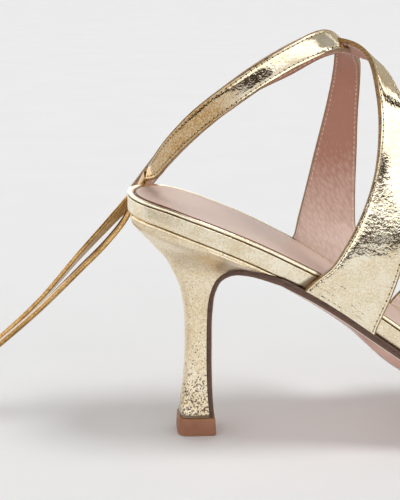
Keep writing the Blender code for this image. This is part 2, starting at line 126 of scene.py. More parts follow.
Ring = namedtuple("Ring", "back_x back_z front_x front_z half power")
HEEL_RINGS = [Ring(*row) for row in (
    (1.3, 76.9, 42.9, 63.4, 22.8, 2.6), (4.8, 72.8, 37.6, 63.0, 16.8, 2.5),
    (8.7, 68.4, 33.2, 61.4, 12.3, 2.4), (12.7, 63.7, 29.7, 58.2, 9.3, 2.3),
    (15.7, 58.0, 27.6, 53.0, 7.3, 2.3), (17.7, 53.0, 26.8, 48.4, 6.5, 2.3),
    (18.9, 46.0, 26.5, 43.0, 6.0, 2.3), (19.3, 38.0, 26.4, 36.4, 5.8, 2.3),
    (19.2, 28.0, 26.4, 27.4, 5.8, 2.5), (18.6, 19.0, 26.6, 18.8, 5.9, 3.0),
    (17.8, 12.0, 27.0, 12.0, 6.1, 3.8), (17.1, 6.8, 27.5, 6.8, 6.4, 4.8))]

# The cover's rolled edge under the board: how far in it lies and how far below the heel's top.
ROLLED_EDGE = ((0.4, 0.0), (0.1, 0.15), (0.0, 0.45), (0.0, 0.9), (0.15, 1.15), (0.4, 1.3), (0.35, 1.6))

# Strap rows: centre, width, and the way the outer face looks (turn about z, tip above level, degrees).
# hug is 1 where the strap lies against the board's wall and 0 where it is free.
Fold = namedtuple("Fold", "x y z width turn tip hug", defaults=(0,))
OUTER_STRAP = [Fold(*row) for row in (
    (68.5, -27.0, 51.1, 30.0, -91, 0, 1), (74.8, -27.1, 59.5, 23.4, -94, 1, 0.7),
    (79.0, -27.6, 69.3, 19.8, -98, 3), (82.8, -27.4, 81.2, 16.6, -98, 7),
    (86.0, -26.4, 95.5, 14.8, -92, 12), (86.0, -24.0, 109.2, 13.0, -73, 21),
    (83.8, -19.5, 121.6, 10.6, -51, 35), (79.8, -12.5, 132.2, 9.2, -16, 40),
    (72.0, -2.7, 135.5, 8.6, 32, 54), (65.9, 9.6, 133.3, 8.2, 65, 51),
    (55.5, 16.2, 127.0, 7.9, 82, 24), (44.0, 20.8, 120.6, 7.7, 92, 10),
    (33.0, 23.6, 112.0, 7.4, 98, 4), (23.5, 25.6, 103.4, 7.0, 102, 0),
    (13.4, 26.2, 92.8, 6.5, 106, 0), (4.6, 25.4, 82.1, 5.9, 110, 0))]
INNER_STRAP = [Fold(*row) for row in (
    (68.8, 26.0, 51.1, 28.0, 90, 0, 1), (73.0, 26.2, 59.6, 24.6, 90, 0, 0.7),
    (74.2, 27.0, 69.6, 21.3, 89, 3), (75.5, 27.6, 81.0, 18.2, 86, 6),
    (77.1, 27.2, 95.8, 15.0, 82, 10), (78.2, 24.8, 110.0, 11.8, 76, 18),
    (78.3, 19.5, 122.0, 10.0, 66, 35), (76.5, 10.0, 130.3, 9.0, 48, 43),
    (73.5, 0.1, 135.8, 8.6, -33, 55), (65.0, -9.8, 137.7, 8.1, -68, 36),
    (55.0, -14.4, 134.5, 7.9, -95, -6), (44.0, -17.6, 129.0, 7.8, -103, -12),
    (33.0, -16.6, 121.3, 7.6, -108, -8), (24.0, -11.2, 113.3, 7.3, -114, -1),
    (16.6, -3.0, 104.2, 6.9, -120, 4), (12.2, 6.0, 96.8, 6.5, -128, 10),
    (9.6, 12.3, 91.9, 6.1, -138, 16), (8.2, 15.5, 90.6, 5.7, -156, 28))]
FRONT_STRAP = [Fold(*row) for row in (
    (103.0, -28.4, 27.2, 21.0, -90, 0, 1), (108.4, -28.8, 35.4, 18.5, -90, 1, 0.7),
    (116.6, -30.0, 42.8, 15.8, -84, 10), (127.4, -28.0, 49.2, 13.6, -74, 32),
    (137.2, -16.6, 54.2, 12.2, -50, 60), (141.2, -1.2, 55.8, 11.8, 0, 68),
    (137.2, 14.2, 54.2, 12.2, 50, 60), (127.4, 24.8, 49.2, 13.6, 74, 32),
    (116.6, 26.4, 42.8, 15.8, 84, 10), (108.4, 25.0, 35.4, 18.5, 90, 1, 0.7),
    (103.0, 24.6, 27.2, 21.0, 90, 0, 1))]
FAR_TIE = [Fold(*row) for row in (
    (3.7, 25.2, 80.9, 5, 114, 10), (-5.5, 24.0, 71.3, 5, 126, 34),
    (-16.4, 23.0, 59.9, 5, 138, 48), (-30.7, 22.4, 43.9, 5, 150, 58),
    (-45.9, 22.2, 30.0, 5, 160, 66), (-62.0, 22.4, 17.2, 5, 170, 74),
    (-78.0, 23.0, 7.4, 5, 180, 82), (-93.0, 24.2, 2.0, 5, 180, 88),
    (-107.0, 25.8, 0.9, 5, 180, 90))]
NEAR_TIE = [Fold(*row) for row in (
    (7.4, 17.1, 89.5, 5, -160, 29), (5.4, 19.2, 85.6, 5, -172, 30), (2.8, 19.4, 79.4, 5, -176, 34),
    (-0.4, 18.6, 73.4, 5, -178, 40), (-6.6, 17.2, 66.0, 5, -178, 46),
    (-16.6, 15.4, 56.4, 5, -178, 55), (-31.2, 14.0, 42.6, 5, -180, 62),
    (-45.7, 13.0, 30.4, 5, -180, 66), (-62.0, 12.2, 17.4, 5, -180, 74),
    (-78.0, 11.4, 7.4, 5, -180, 82), (-93.0, 10.4, 2.0, 5, -180, 88),
    (-107.0, 8.6, 0.9, 5, -180, 90))]

# Both ties end in one curve on the floor, x and distance y to either side of a line midway between them.
TIE_MIDWAY = 17.0
for end_x, end_y in ((-120.0, 13.0), (-129.0, 22.0), (-131.0, 34.0), (-124.0, 45.0), (-111.0, 51.0),
                     (-96.0, 53.0), (-80.0, 52.0)):
    FAR_TIE.append(Fold(end_x, TIE_MIDWAY + end_y, 0.9, 5, 180, 90))
    NEAR_TIE.append(Fold(end_x, TIE_MIDWAY - end_y, 0.9, 5, -180, 90))

# Creases: distance up from the strap's base, distance across from its middle, half length across,
# half width along, depth (negative is a ridge) and how far it climbs per millimetre across.
Crease = namedtuple("Crease", "up across reach width depth climb")
OUTER_CREASES = [Crease(*row) for row in (
    (1.4, -5.0, 8.0, 0.40, 0.10, 0.02), (2.4, 3.0, 9.0, 0.40, 0.12, -0.02),
    (3.3, -6.0, 6.0, 0.40, 0.12, 0.05), (4.2, 2.0, 8.0, 0.42, 0.11, -0.03),
    (5.2, -5.0, 6.0, 0.42, 0.10, 0.06), (6.2, 4.0, 5.0, 0.45, 0.10, -0.04),
    (7.4, -3.0, 5.5, 0.50, 0.08, 0.05), (9.2, 1.0, 6.0, 0.60, 0.06, -0.05),
    (12.4, -3.0, 4.5, 1.10, 0.05, 0.08), (17.5, 3.0, 5.0, 1.60, 0.06, -0.10),
    (23.0, -2.0, 5.0, 1.80, 0.07, 0.18), (62.0, 0.0, 5.0, 1.80, 0.07, 0.25),
    (74.0, 0.5, 4.0, 1.80, 0.07, -0.25), (118.0, 0.0, 3.5, 1.50, 0.06, 0.30),
    (150.0, 0.0, 3.5, 1.50, 0.06, -0.30))]
INNER_CREASES = [Crease(*row) for row in (
    (2.4, 3.0, 9.0, 0.70, 0.07, -0.02), (4.2, -4.0, 8.0, 0.70, 0.07, 0.03),
    (6.4, 4.5, 7.0, 0.80, 0.06, -0.04), (9.0, -1.0, 6.0, 0.90, 0.06, 0.05),
    (60.0, 0.0, 5.0, 1.80, 0.07, -0.25), (76.0, 0.0, 4.0, 1.80, 0.07, 0.25),
    (104.0, 0.0, 3.5, 1.60, 0.06, 0.30), (128.0, 0.0, 3.5, 1.60, 0.06, -0.30),
    (160.0, 0.0, 3.5, 1.60, 0.06, 0.30))]
FRONT_CREASES = [Crease(*row) for row in (
    (2.4, 0.0, 7.0, 0.70, 0.07, 0.03), (5.0, 2.0, 5.0, 0.80, 0.06, -0.04),
    (28.0, 0.0, 4.0, 1.60, 0.07, 0.20), (52.0, 0.0, 4.0, 1.60, 0.07, -0.20))]

# The view: the aim is a point of the shoe, turn and pitch are degrees, and the lens fills a 36 mm sensor.
VIEW_AIM = (24.7, 0.0, 66.1)
VIEW_DISTANCE = 428.6
VIEW_TURN = 5.64
VIEW_PITCH = 14.21
VIEW_LENS = 89.6

# The room's brightness by height above eye level (sine of the angle), from straight down to overhead.
ROOM = ((-1.0, 0.5), (0.0, 0.95), (0.5, 1.0), (0.6, 0.25), (0.75, 0.25), (0.85, 0.05), (1.0, 0.05))
ROOM_STRENGTH = 1.63

# The light tilts to the outer side and leans to the toe; these and its width are degrees.
LIGHT_TILT = 8.0
LIGHT_LEAN = 22.0
LIGHT_WIDTH = 22.0
LIGHT_ENERGY = 1.32

# The floor's radii: the foil mirrors it as far as FLOOR_NEAR, and it sweeps up from FLOOR_BEND.
FLOOR_NEAR = 1500.0
FLOOR_FLAT = 2400.0
FLOOR_BEND = 2800.0
FLOOR_END = 6000.0
FLOOR_RISE = 900.0

# Flags: two radii from the shoe's middle, the heights there, and the angles between which they stand.
Flag = namedtuple("Flag", "name radii heights arc stuff")
FLAGS = [Flag(*row) for row in (
    ("floor_flag", (510.0, 1500.0), (3.0, 3.0), (-190.0, -62.0), "cloth"),
    ("toe_flag", (700.0, 700.0), (280.0, 600.0), (-8.0, 2.0), "cloth"),
    ("side_card", (700.0, 700.0), (60.0, 600.0), (12.0, 75.0), "card"))]

# Noise lies between these but for its extremes.
MIDTONES = (0.3, 0.7)


def srgb(code):
    """Linear colour with alpha from an sRGB hex code."""
    channels = [int(code[i:i + 2], 16) / 255.0 for i in (1, 3, 5)]
    linear = [c / 12.92 if c <= 0.04045 else ((c + 0.055) / 1.055) ** 2.4 for c in channels]
    return (*linear, 1.0)


def hermite(t, span, start, end, start_slope, end_slope):
    """Cubic from start to end over a span, with the slope given at each end."""
    return ((1 + 2 * t) * (1 - t) ** 2 * start + t * (1 - t) ** 2 * span * start_slope
            + t * t * (3 - 2 * t) * end + t * t * (t - 1) * span * end_slope)


def monotone(knots, values, x):
    """Cubic through the knots that never overshoots them."""
    knots = np.asarray(knots, float)
    values = np.asarray(values, float)
    step = np.diff(knots)
    rate = np.diff(values) / step
    slope = np.empty_like(values)
    slope[0] = rate[0]
    slope[-1] = rate[-1]
    for i in range(1, len(knots) - 1):
        a, b = rate[i - 1], rate[i]
        slope[i] = 2.0 * a * b / (a + b) if a * b > 0.0 else 0.0
    i = np.clip(np.searchsorted(knots, x) - 1, 0, len(step) - 1)
    t = (np.asarray(x, float) - knots[i]) / step[i]
    return hermite(t, step[i], values[i], values[i + 1], slope[i], slope[i + 1])


def run_length(points):
    """Distance of each point from the first, along the line through them."""
    return np.concatenate([[0.0], np.cumsum(np.linalg.norm(np.diff(points, axis=0), axis=1))])


def read(table, column, x):
    """A table's column at positions x, by a smooth curve through its rows."""
    return monotone([row.x for row in table], [getattr(row, column) for row in table], x)


def row_distances(rows):
    """Distance of each table row from the first, along x, y, z."""
    return run_length(np.array(rows, float)[:, :3])


def smooth_rows(rows, distances):
    """Smooth curve through table rows, sampled at distances from the first row."""
    data = np.array(rows, float)
    at = row_distances(rows)
    slope = np.gradient(data, at, axis=0)
    i = np.clip(np.searchsorted(at, distances, side="right") - 1, 0, len(at) - 2)
    span = (at[i + 1] - at[i])[:, None]
    t = (np.asarray(distances) - at[i])[:, None] / span
    return hermite(t, span, data[i], data[i + 1], slope[i], slope[i + 1])


def unit(vectors):
    """The same vectors at length one."""
    return vectors / np.linalg.norm(vectors, axis=-1)[..., None]


def square_to(vectors, axes):
    """Unit vectors at right angles to unit axes, each in the plane of its vector and axis."""
    return unit(vectors - axes * np.sum(vectors * axes, axis=1)[:, None])


def underside(x):
    """Height of the board's underside on its centre line."""
    return read(BOARD_UNDERSIDE, "z", x)


def upright(x):
    """Height of one millimetre of thickness, measured upright, where the board slopes."""
    return np.sqrt(1.0 + (underside(x + 0.5) - underside(x - 0.5)) ** 2)


def sole_top(x):
    """Height of the outsole's upper face below the board."""
    return underside(x) - GAP * upright(x)


def crown(x):
    """How far the outsole's underside drops from its edge to its middle, where the shank meets the tread."""
    return read(SOLE_CROWN, "drop", np.clip(x, SOLE_CROWN[0].x, SOLE_CROWN[-1].x))


def outline(x, margin=0.0):
    """Centre and half-width of the board seen from above; margin widens it past the round heel end."""
    first, last = OUTLINE[0], OUTLINE[-1]
    inner = np.clip(x, first.x, last.x)
    centre = read(OUTLINE, "centre", inner)
    half = read(OUTLINE, "half", inner)
    back = np.clip((first.x - x) / HEEL_ROUND, 0.0, 1.0)
    front = np.clip((x - last.x) / (TOE_ROUND + np.max(margin)), 0.0, 1.0)
    half = (half + margin) * np.sqrt(1.0 - back ** 2) * (1.0 - front ** TOE_POWER) ** (1 / TOE_BLUNT)
    return centre + TOE_TURN * front ** 2, half


def even_stations(start, end, count):
    """Positions from end to end, closer together at both ends."""
    return start + (end - start) * 0.5 * (1.0 - np.cos(np.pi * np.linspace(0.0, 1.0, count)))


def board_stations():
    """Stations along the board: x, the y of both edges, and x, z of one millimetre of thickness."""
    x = even_stations(0.0, SHOE_LENGTH, 150)
    centre, half = outline(x)
    half[[0, -1]] = 0.0
    across = np.stack([centre - half, centre + half], axis=1)
    return x, across, np.stack([np.zeros_like(x), upright(x)], axis=1)


def from_back(count=28):
    """Shares of the way from a round back to the front, closest together at the back."""
    return 1.0 - np.cos(np.linspace(0.0, math.pi / 2.0, count))


# Modelling steps.
def start_grid(name, points, uv):
    """A primitive grid whose points are laid out by two arrays, row by row; it stays alone selected."""
    along, across = points.shape[0] - 1, points.shape[1] - 1
    bpy.ops.object.select_all(action="DESELECT")
    bpy.ops.mesh.primitive_grid_add(x_subdivisions=along, y_subdivisions=across, size=2.0)
    piece = bpy.context.object
    piece.name = name
    mesh = piece.data
    mesh.name = name
    flat = np.empty(3 * len(mesh.vertices), np.float32)
    mesh.vertices.foreach_get("co", flat)
    share = (flat.reshape(-1, 3)[:, :2] + 1.0) / 2.0
    i = np.rint(share[:, 0] * along).astype(int)
    j = np.rint(share[:, 1] * across).astype(int)
    placed = HEEL_SEAT_BACK + points[i, j] * MM
    mesh.vertices.foreach_set("co", placed.astype(np.float32).ravel())
    corner = np.empty(len(mesh.loops), np.int32)
    mesh.loops.foreach_get("vertex_index", corner)
    mesh.uv_layers.active.data.foreach_set("uv", uv[i, j][corner].astype(np.float32).ravel())
    mesh.update()
    return piece


@contextmanager
def editing(piece):
    """Edit mode with the whole piece selected, and back."""
    bpy.context.view_layer.objects.active = piece
    bpy.ops.object.mode_set(mode="EDIT")
    bpy.ops.mesh.select_all(action="SELECT")
    yield
    bpy.ops.object.mode_set(mode="OBJECT")


def sew_shut(piece):
    """Merges the points that meet and turns the faces outwards."""
    with editing(piece):
        bpy.ops.mesh.remove_doubles(threshold=SEWN)
        bpy.ops.mesh.dissolve_degenerate(threshold=SEWN)
        bpy.ops.mesh.normals_make_consistent(inside=False)


def modify(piece, kind, **settings):
    """Adds a modifier with its settings and applies it."""
    modifier = piece.modifiers.new(kind.title(), kind)
    for key, value in settings.items():
        setattr(modifier, key, value)
    bpy.context.view_layer.objects.active = piece
    bpy.ops.object.modifier_apply(modifier=modifier.name)


def thicken(piece, thick, **settings):
    """Gives an open sheet its thickness, half to each side, and rounds the cut edge."""
    modify(piece, "SOLIDIFY", thickness=thick, offset=0.0, use_even_offset=True, **settings)
    modify(piece, "BEVEL", width=EDGE_ROUND * MM, segments=2, limit_method="ANGLE",
           angle_limit=math.radians(60))


def face_uv(mesh):
    """Mean UV of each face."""
    flat = np.empty(2 * len(mesh.loops), np.float32)
    mesh.uv_layers.active.data.foreach_get("uv", flat)
    starts = np.array([face.loop_start for face in mesh.polygons])
    totals = np.array([face.loop_total for face in mesh.polygons])
    sums = np.add.reduceat(flat.reshape(-1, 2), starts, axis=0)
    return sums / totals[:, None]


def paint_faces(piece, materials, index_of):
    """Gives the piece its materials, and each face the one whose number index_of(u, v, number) returns."""
    mesh = piece.data
    old = np.empty(len(mesh.polygons), np.int32)
    mesh.polygons.foreach_get("material_index", old)
    uv = face_uv(mesh)
    mesh.materials.clear()
    for material in materials:
        mesh.materials.append(material)
    mesh.polygons.foreach_set("material_index", index_of(uv[:, 0], uv[:, 1], old).astype(np.int32))
    mesh.update()


def shade(piece, angle=50.0):
    """Smooth shading that keeps real corners."""
    bpy.ops.object.select_all(action="DESELECT")
    piece.select_set(True)
    bpy.context.view_layer.objects.active = piece
    bpy.ops.object.shade_smooth_by_angle(angle=math.radians(angle))


def belongs(piece, node):
    """The piece rides with the shoe and stands for its frame node."""
    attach(piece, "root")
    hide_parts(node)


def closed_rim(name, line, across, depth, layers):
    """Closed plate: loops round an outline, from its lower middle line over the rim to its upper one.

    line: x, z of each station; across: y of its two edges; depth: x, z of one millimetre of thickness.
    layers: (inset, rise) of each loop, each one number or one for each station; an inset of None is the
    plate's middle line.
    The UV of a loop is its number, so that a face's UV tells between which loops it lies.
    """
    n = len(line)
    tangent = unit(np.gradient(line, axis=0))
    reach = run_length(line)
    chain = [(i, 0) for i in range(n)] + [(i, 1) for i in range(n - 1, -1, -1)] + [(0, 0)]
    station = np.array([i for i, _ in chain])
    side = np.array([e for _, e in chain])
    y = across[station, side]
    flat = np.stack([reach[station], y], axis=1)
    after = np.roll(flat[:-1], -1, axis=0) - flat[:-1]
    keep = np.linalg.norm(after, axis=1) > 1e-6
    after[~keep] = 0.0
    after[keep] = unit(after[keep])
    mean = after + np.roll(after, 1, axis=0)
    normal = unit(np.stack([-mean[:, 1], mean[:, 0]], axis=1))
    normal = np.concatenate([normal, normal[:1]])
    if np.sum((flat.mean(axis=0) - flat) * normal) < 0:
        normal = -normal
    middle = across.mean(axis=1)
    width = np.abs(across[:, 1] - across[:, 0])
    wide = np.flatnonzero(width > 0.5 * width.max())
    blunt = np.flatnonzero(reach < reach[-1] - 0.5 * width[-1])
    spine = np.clip(station, wide[0], wide[-1] if width[-1] < 0.01 else blunt[-1])
    loops = []
    for inset, rise in layers:
        lift = np.broadcast_to(rise, n)[:, None]
        if inset is None:
            at = line[spine] + depth[spine] * lift[spine]
            loops.append(np.stack([at[:, 0], middle[spine], at[:, 1]], axis=1))
            continue
        shift = np.broadcast_to(inset, n)[station][:, None] * normal
        at = line[station] + tangent[station] * shift[:, :1] + depth[station] * lift[station]
        loops.append(np.stack([at[:, 0], y + shift[:, 1], at[:, 1]], axis=1))
    points = np.stack(loops, axis=1)
    size = points.shape[:2]
    uv = np.stack(np.meshgrid(flat[:, 0] / 10.0, np.arange(size[1], dtype=float), indexing="ij"), axis=-1)
    piece = start_grid(name, points, uv)
    sew_shut(piece)
    return piece


class Ribbon:
    """A strap's middle surface, swept through its fold rows and sampled at distances along it."""

    def __init__(self, rows, distances, thick, feet=()):
        data = smooth_rows(rows, distances)
        self.centre = data[:, :3]
        self.tangent = unit(np.gradient(self.centre, distances, axis=0))
        turn, tip = np.radians(data[:, 4]), np.radians(data[:, 5])
        face = np.stack([np.cos(tip) * np.cos(turn), np.cos(tip) * np.sin(turn), np.sin(tip)], axis=1)
        self.face = square_to(face, self.tangent)
        self.wide = np.cross(self.tangent, self.face)
        self.width = data[:, 3]
        self.hug = np.clip(data[:, 6], 0.0, 1.0)
        self.thick = thick
        self.feet = feet
        self.along = run_length(self.centre)

    def surface(self, offset):
        """Points at offsets across from the middle, an array with a row for each station."""
        points = self.centre[:, None] + offset[..., None] * self.wide[:, None]
        side = np.where(self.centre[:, 1] < 0.0, -1.0, 1.0)[:, None]
        middle, half = outline(points[..., 0])
        wall = middle + side * (half + GAP + STRAP_CLEAR + 0.5 * self.thick)
        points[..., 1] += self.hug[:, None] * (wall - points[..., 1])
        for end in self.feet:
            drop = sole_top(points[end, :, 0]) + STRAP_STAND - points[end, :, 2]
            away = np.abs(self.along - self.along[end])
            points[..., 2] += drop[None] * np.clip(1.0 - away / FOOT_REACH, 0.0, 1.0)[:, None] ** 2
        return points

    def sample(self, values, at):
        """Vectors given for each station, read at distances along the strap."""
        return np.stack([np.interp(at, self.along, values[:, k]) for k in range(3)], axis=1)


def strap_distances(rows, feet, fine=0.3, coarse=1.3):
    """Distances along a strap, close together near its feet, where the leather is creased."""
    end = row_distances(rows)[-1]
    first = FOOT_REACH if 0 in feet else 0.0
    last = FOOT_REACH if -1 in feet else 0.0
    parts = [np.linspace(0.0, first, int(first / fine) + 1)[:-1]]
    parts.append(np.linspace(first, end - last, int((end - first - last) / coarse) + 1))
    parts.append(np.linspace(end - last, end, int(last / fine) + 1)[1:])
    return np.concatenate(parts)


def crease_height(creases, along, across):
    """Depth of the creases as a height added to the strap's surface."""
    height = np.zeros_like(across)
    for row in creases:
        line = row.up + row.climb * (across - row.across)
        fade = np.exp(-((across - row.across) / row.reach) ** 4)
        height -= row.depth * fade * np.exp(-((along - line) / row.width) ** 2)
    return height


def columns(width, marks, inner):
    """Offsets across a strap: marks in from each edge, then inner steps to the middle."""
    half = width[:, None] / 2.0
    marks = np.asarray(marks)[None]
    rest = np.linspace(0.0, 1.0, inner + 1)[None, 1:]
    side = np.concatenate([half - marks + 0.0 * half, (half - marks[:, -1:]) * (1.0 - rest)], axis=1)
    return np.concatenate([-side, side[:, -2::-1]], axis=1)


def build_strap(name, rows, feet, creases, sizes, materials):
    """Strap of foil leather over lining: crowned, stitched down at both edges and creased."""
    thick = sizes.strap_thick / MM
    inset = sizes.stitch_inset / MM
    distances = strap_distances(rows, feet)
    ribbon = Ribbon(rows, distances, thick, feet)
    offset = columns(ribbon.width, (0.0, 0.35, 0.7, inset - 0.25, inset, inset + 0.25, inset + 0.8), 6)
    edge = ribbon.width[:, None] / 2.0 - np.abs(offset)
    half = ribbon.width[:, None] / 2.0
    crown = sizes.strap_crown / MM * (1.0 - (offset / half) ** 2)
    groove = sizes.stitch_groove / MM * np.exp(-((edge - inset) / 0.28) ** 2)
    along = np.repeat(ribbon.along[:, None], offset.shape[1], axis=1)
    height = crown - groove + crease_height(creases, along, offset)
    points = ribbon.surface(offset) + height[..., None] * ribbon.face[:, None]
    uv = np.stack([along, edge], axis=-1) / 10.0
    piece = start_grid(name, points, uv)
    turn_to(piece, ribbon.face[0])
    for material in materials:
        piece.data.materials.append(material)
    thicken(piece, sizes.strap_thick, material_offset=1, material_offset_rim=2)
    paint_faces(piece, materials, lambda u, v, old: np.where(
        10.0 * v < np.where(old == 1, RIM_OVER_LINING, RIM_OVER_FOIL), 2, old))
    modify(piece, "SUBSURF", levels=1, render_levels=1)
    shade(piece)
    return piece, ribbon


def turn_to(piece, direction):
    """Flips an open sheet whose first face looks away from a direction."""
    if piece.data.polygons[0].normal.dot(Vector(direction)) <= 0.0:
        with editing(piece):
            bpy.ops.mesh.flip_normals()


def one_stitch(sizes):
    """Points and faces of one stitch, a small pill lying along x, modelled once at the origin."""
    bpy.ops.object.select_all(action="DESELECT")
    bpy.ops.mesh.primitive_uv_sphere_add(segments=6, ring_count=4, radius=0.5)
    pill = bpy.context.object
    width = sizes.stitch_width / MM
    size = (sizes.stitch_length / MM, width, 0.8 * width)
    with editing(pill):
        bpy.ops.transform.rotate(value=math.pi / 2.0, orient_axis="Y", center_override=(0.0, 0.0, 0.0))
        bpy.ops.transform.resize(value=size, center_override=(0.0, 0.0, 0.0))
    points = np.array([v.co for v in pill.data.vertices])
    faces = [tuple(f.vertices) for f in pill.data.polygons]
    bpy.data.objects.remove(pill)
    return points, faces


def build_stitches(name, ribbon, side, sizes, material):
    """Both rows of stitches on one face of a strap (side 1 is the outer face), as one joined mesh."""
    pill, faces = one_stitch(sizes)
    pitch = sizes.stitch_pitch / MM
    inset = sizes.stitch_inset / MM
    crown = sizes.strap_crown / MM
    count = int((ribbon.along[-1] - 2.0) / pitch)
    at = pitch * (1.0 + np.arange(count))
    offset = np.stack([inset - ribbon.width / 2.0, ribbon.width / 2.0 - inset], axis=1)
    lines = ribbon.surface(offset)
    height = crown * (1.0 - (offset / (ribbon.width[:, None] / 2.0)) ** 2) - sizes.stitch_groove / MM
    lift = side * (0.5 * ribbon.thick + 0.02) + height
    lines += lift[..., None] * ribbon.face[:, None]
    verts, polys = [], []
    for edge in (0, 1):
        line = ribbon.sample(lines[:, edge], at)
        ahead = unit(np.gradient(line, axis=0))
        out = square_to(ribbon.sample(ribbon.face, at), ahead) * side
        wide = np.cross(out, ahead)
        for k in range(count):
            base = len(verts) * len(pill)
            verts.append(line[k] + pill @ np.stack([ahead[k], wide[k], out[k]]))
            polys += [tuple(base + v for v in face) for face in faces]
    mesh = bpy.data.meshes.new(name)
    placed = HEEL_SEAT_BACK + np.concatenate(verts) * MM
    mesh.from_pydata(placed.tolist(), [], polys)
    mesh.materials.append(material)
    piece = bpy.data.objects.new(name, mesh)
    bpy.context.scene.collection.objects.link(piece)
    shade(piece, 180.0)
    return piece


# Materials.
def per_mm(size):
    """Texture scale at which a pattern repeats every so many millimetres."""
    return 1.0 / (size * MM)


def node(tree, kind, *values, out=0, sockets=None, **settings):
    """Adds a shader node and returns one of its outputs.

    values fill its first sockets in order and sockets others by name or number: each is an output to link
    or a constant. settings are the node's own properties.
    """
    made = tree.nodes.new("ShaderNode" + kind)
    for key, value in settings.items():
        setattr(made, key, value)
    for key, value in [*enumerate(values), *(sockets or {}).items()]:
        if isinstance(value, bpy.types.NodeSocket):
            tree.links.new(value, made.inputs[key])
        else:
            made.inputs[key].default_value = value
    return made.outputs[out]


def noise(tree, at, size, detail, out=0, **sockets):
    """Noise whose lumps are so many millimetres wide."""
    return node(tree, "TexNoise", at, out=out, sockets={"Scale": per_mm(size), "Detail": detail, **sockets})


def ramp(tree, value, low, high, start=0.0, end=1.0):
    """Runs from start to end as the value goes from low to high, and no further."""
    return node(tree, "MapRange", value, low, high, start, end)


def times(tree, value, factor, plus=0.0):
    """The value times a factor, plus a third."""
    return node(tree, "Math", value, factor, plus, operation="MULTIPLY_ADD")


def off_from(tree, value, centre):
    """How far the value is from a centre, either way."""
    return node(tree, "Math", node(tree, "Math", value, centre, operation="SUBTRACT"), operation="ABSOLUTE")


def mix(tree, share, first, second, **settings):
    """A share of the second colour over the first."""
    return node(tree, "Mix", share, out=2, data_type="RGBA", sockets={6: first, 7: second}, **settings)


def wandering(tree, place, size, shift):
    """Coordinates pushed about by soft lumps, so that a pattern on them wanders; both are millimetres."""
    drift = noise(tree, place, size, 2.0, out="Color")
    return node(tree, "VectorMath", drift, (shift * MM,) * 3, place, operation="MULTIPLY_ADD")


def new_material(name, **constants):
    """Principled material with its constant sockets set; returns it, its node tree and its coordinates."""
    material = bpy.data.materials.new(name)
    material.use_nodes = True
    shader = material.node_tree.nodes["Principled BSDF"]
    for key, value in constants.items():
        shader.inputs[key.replace("_", " ")].default_value = value
    return material, material.node_tree, node(material.node_tree, "TexCoord", out="Object")


def finish_material(tree, tone, roughness=None, height=None):
    """Links a material's colour, roughness and height, in millimetres, to its shader."""
    shader = tree.nodes["Principled BSDF"]
    tree.links.new(tone, shader.inputs["Base Color"])
    if roughness:
        tree.links.new(roughness, shader.inputs["Roughness"])
    if height:
        normal = node(tree, "Bump", sockets={"Distance": MM, "Height": height})
        tree.links.new(normal, shader.inputs["Normal"])


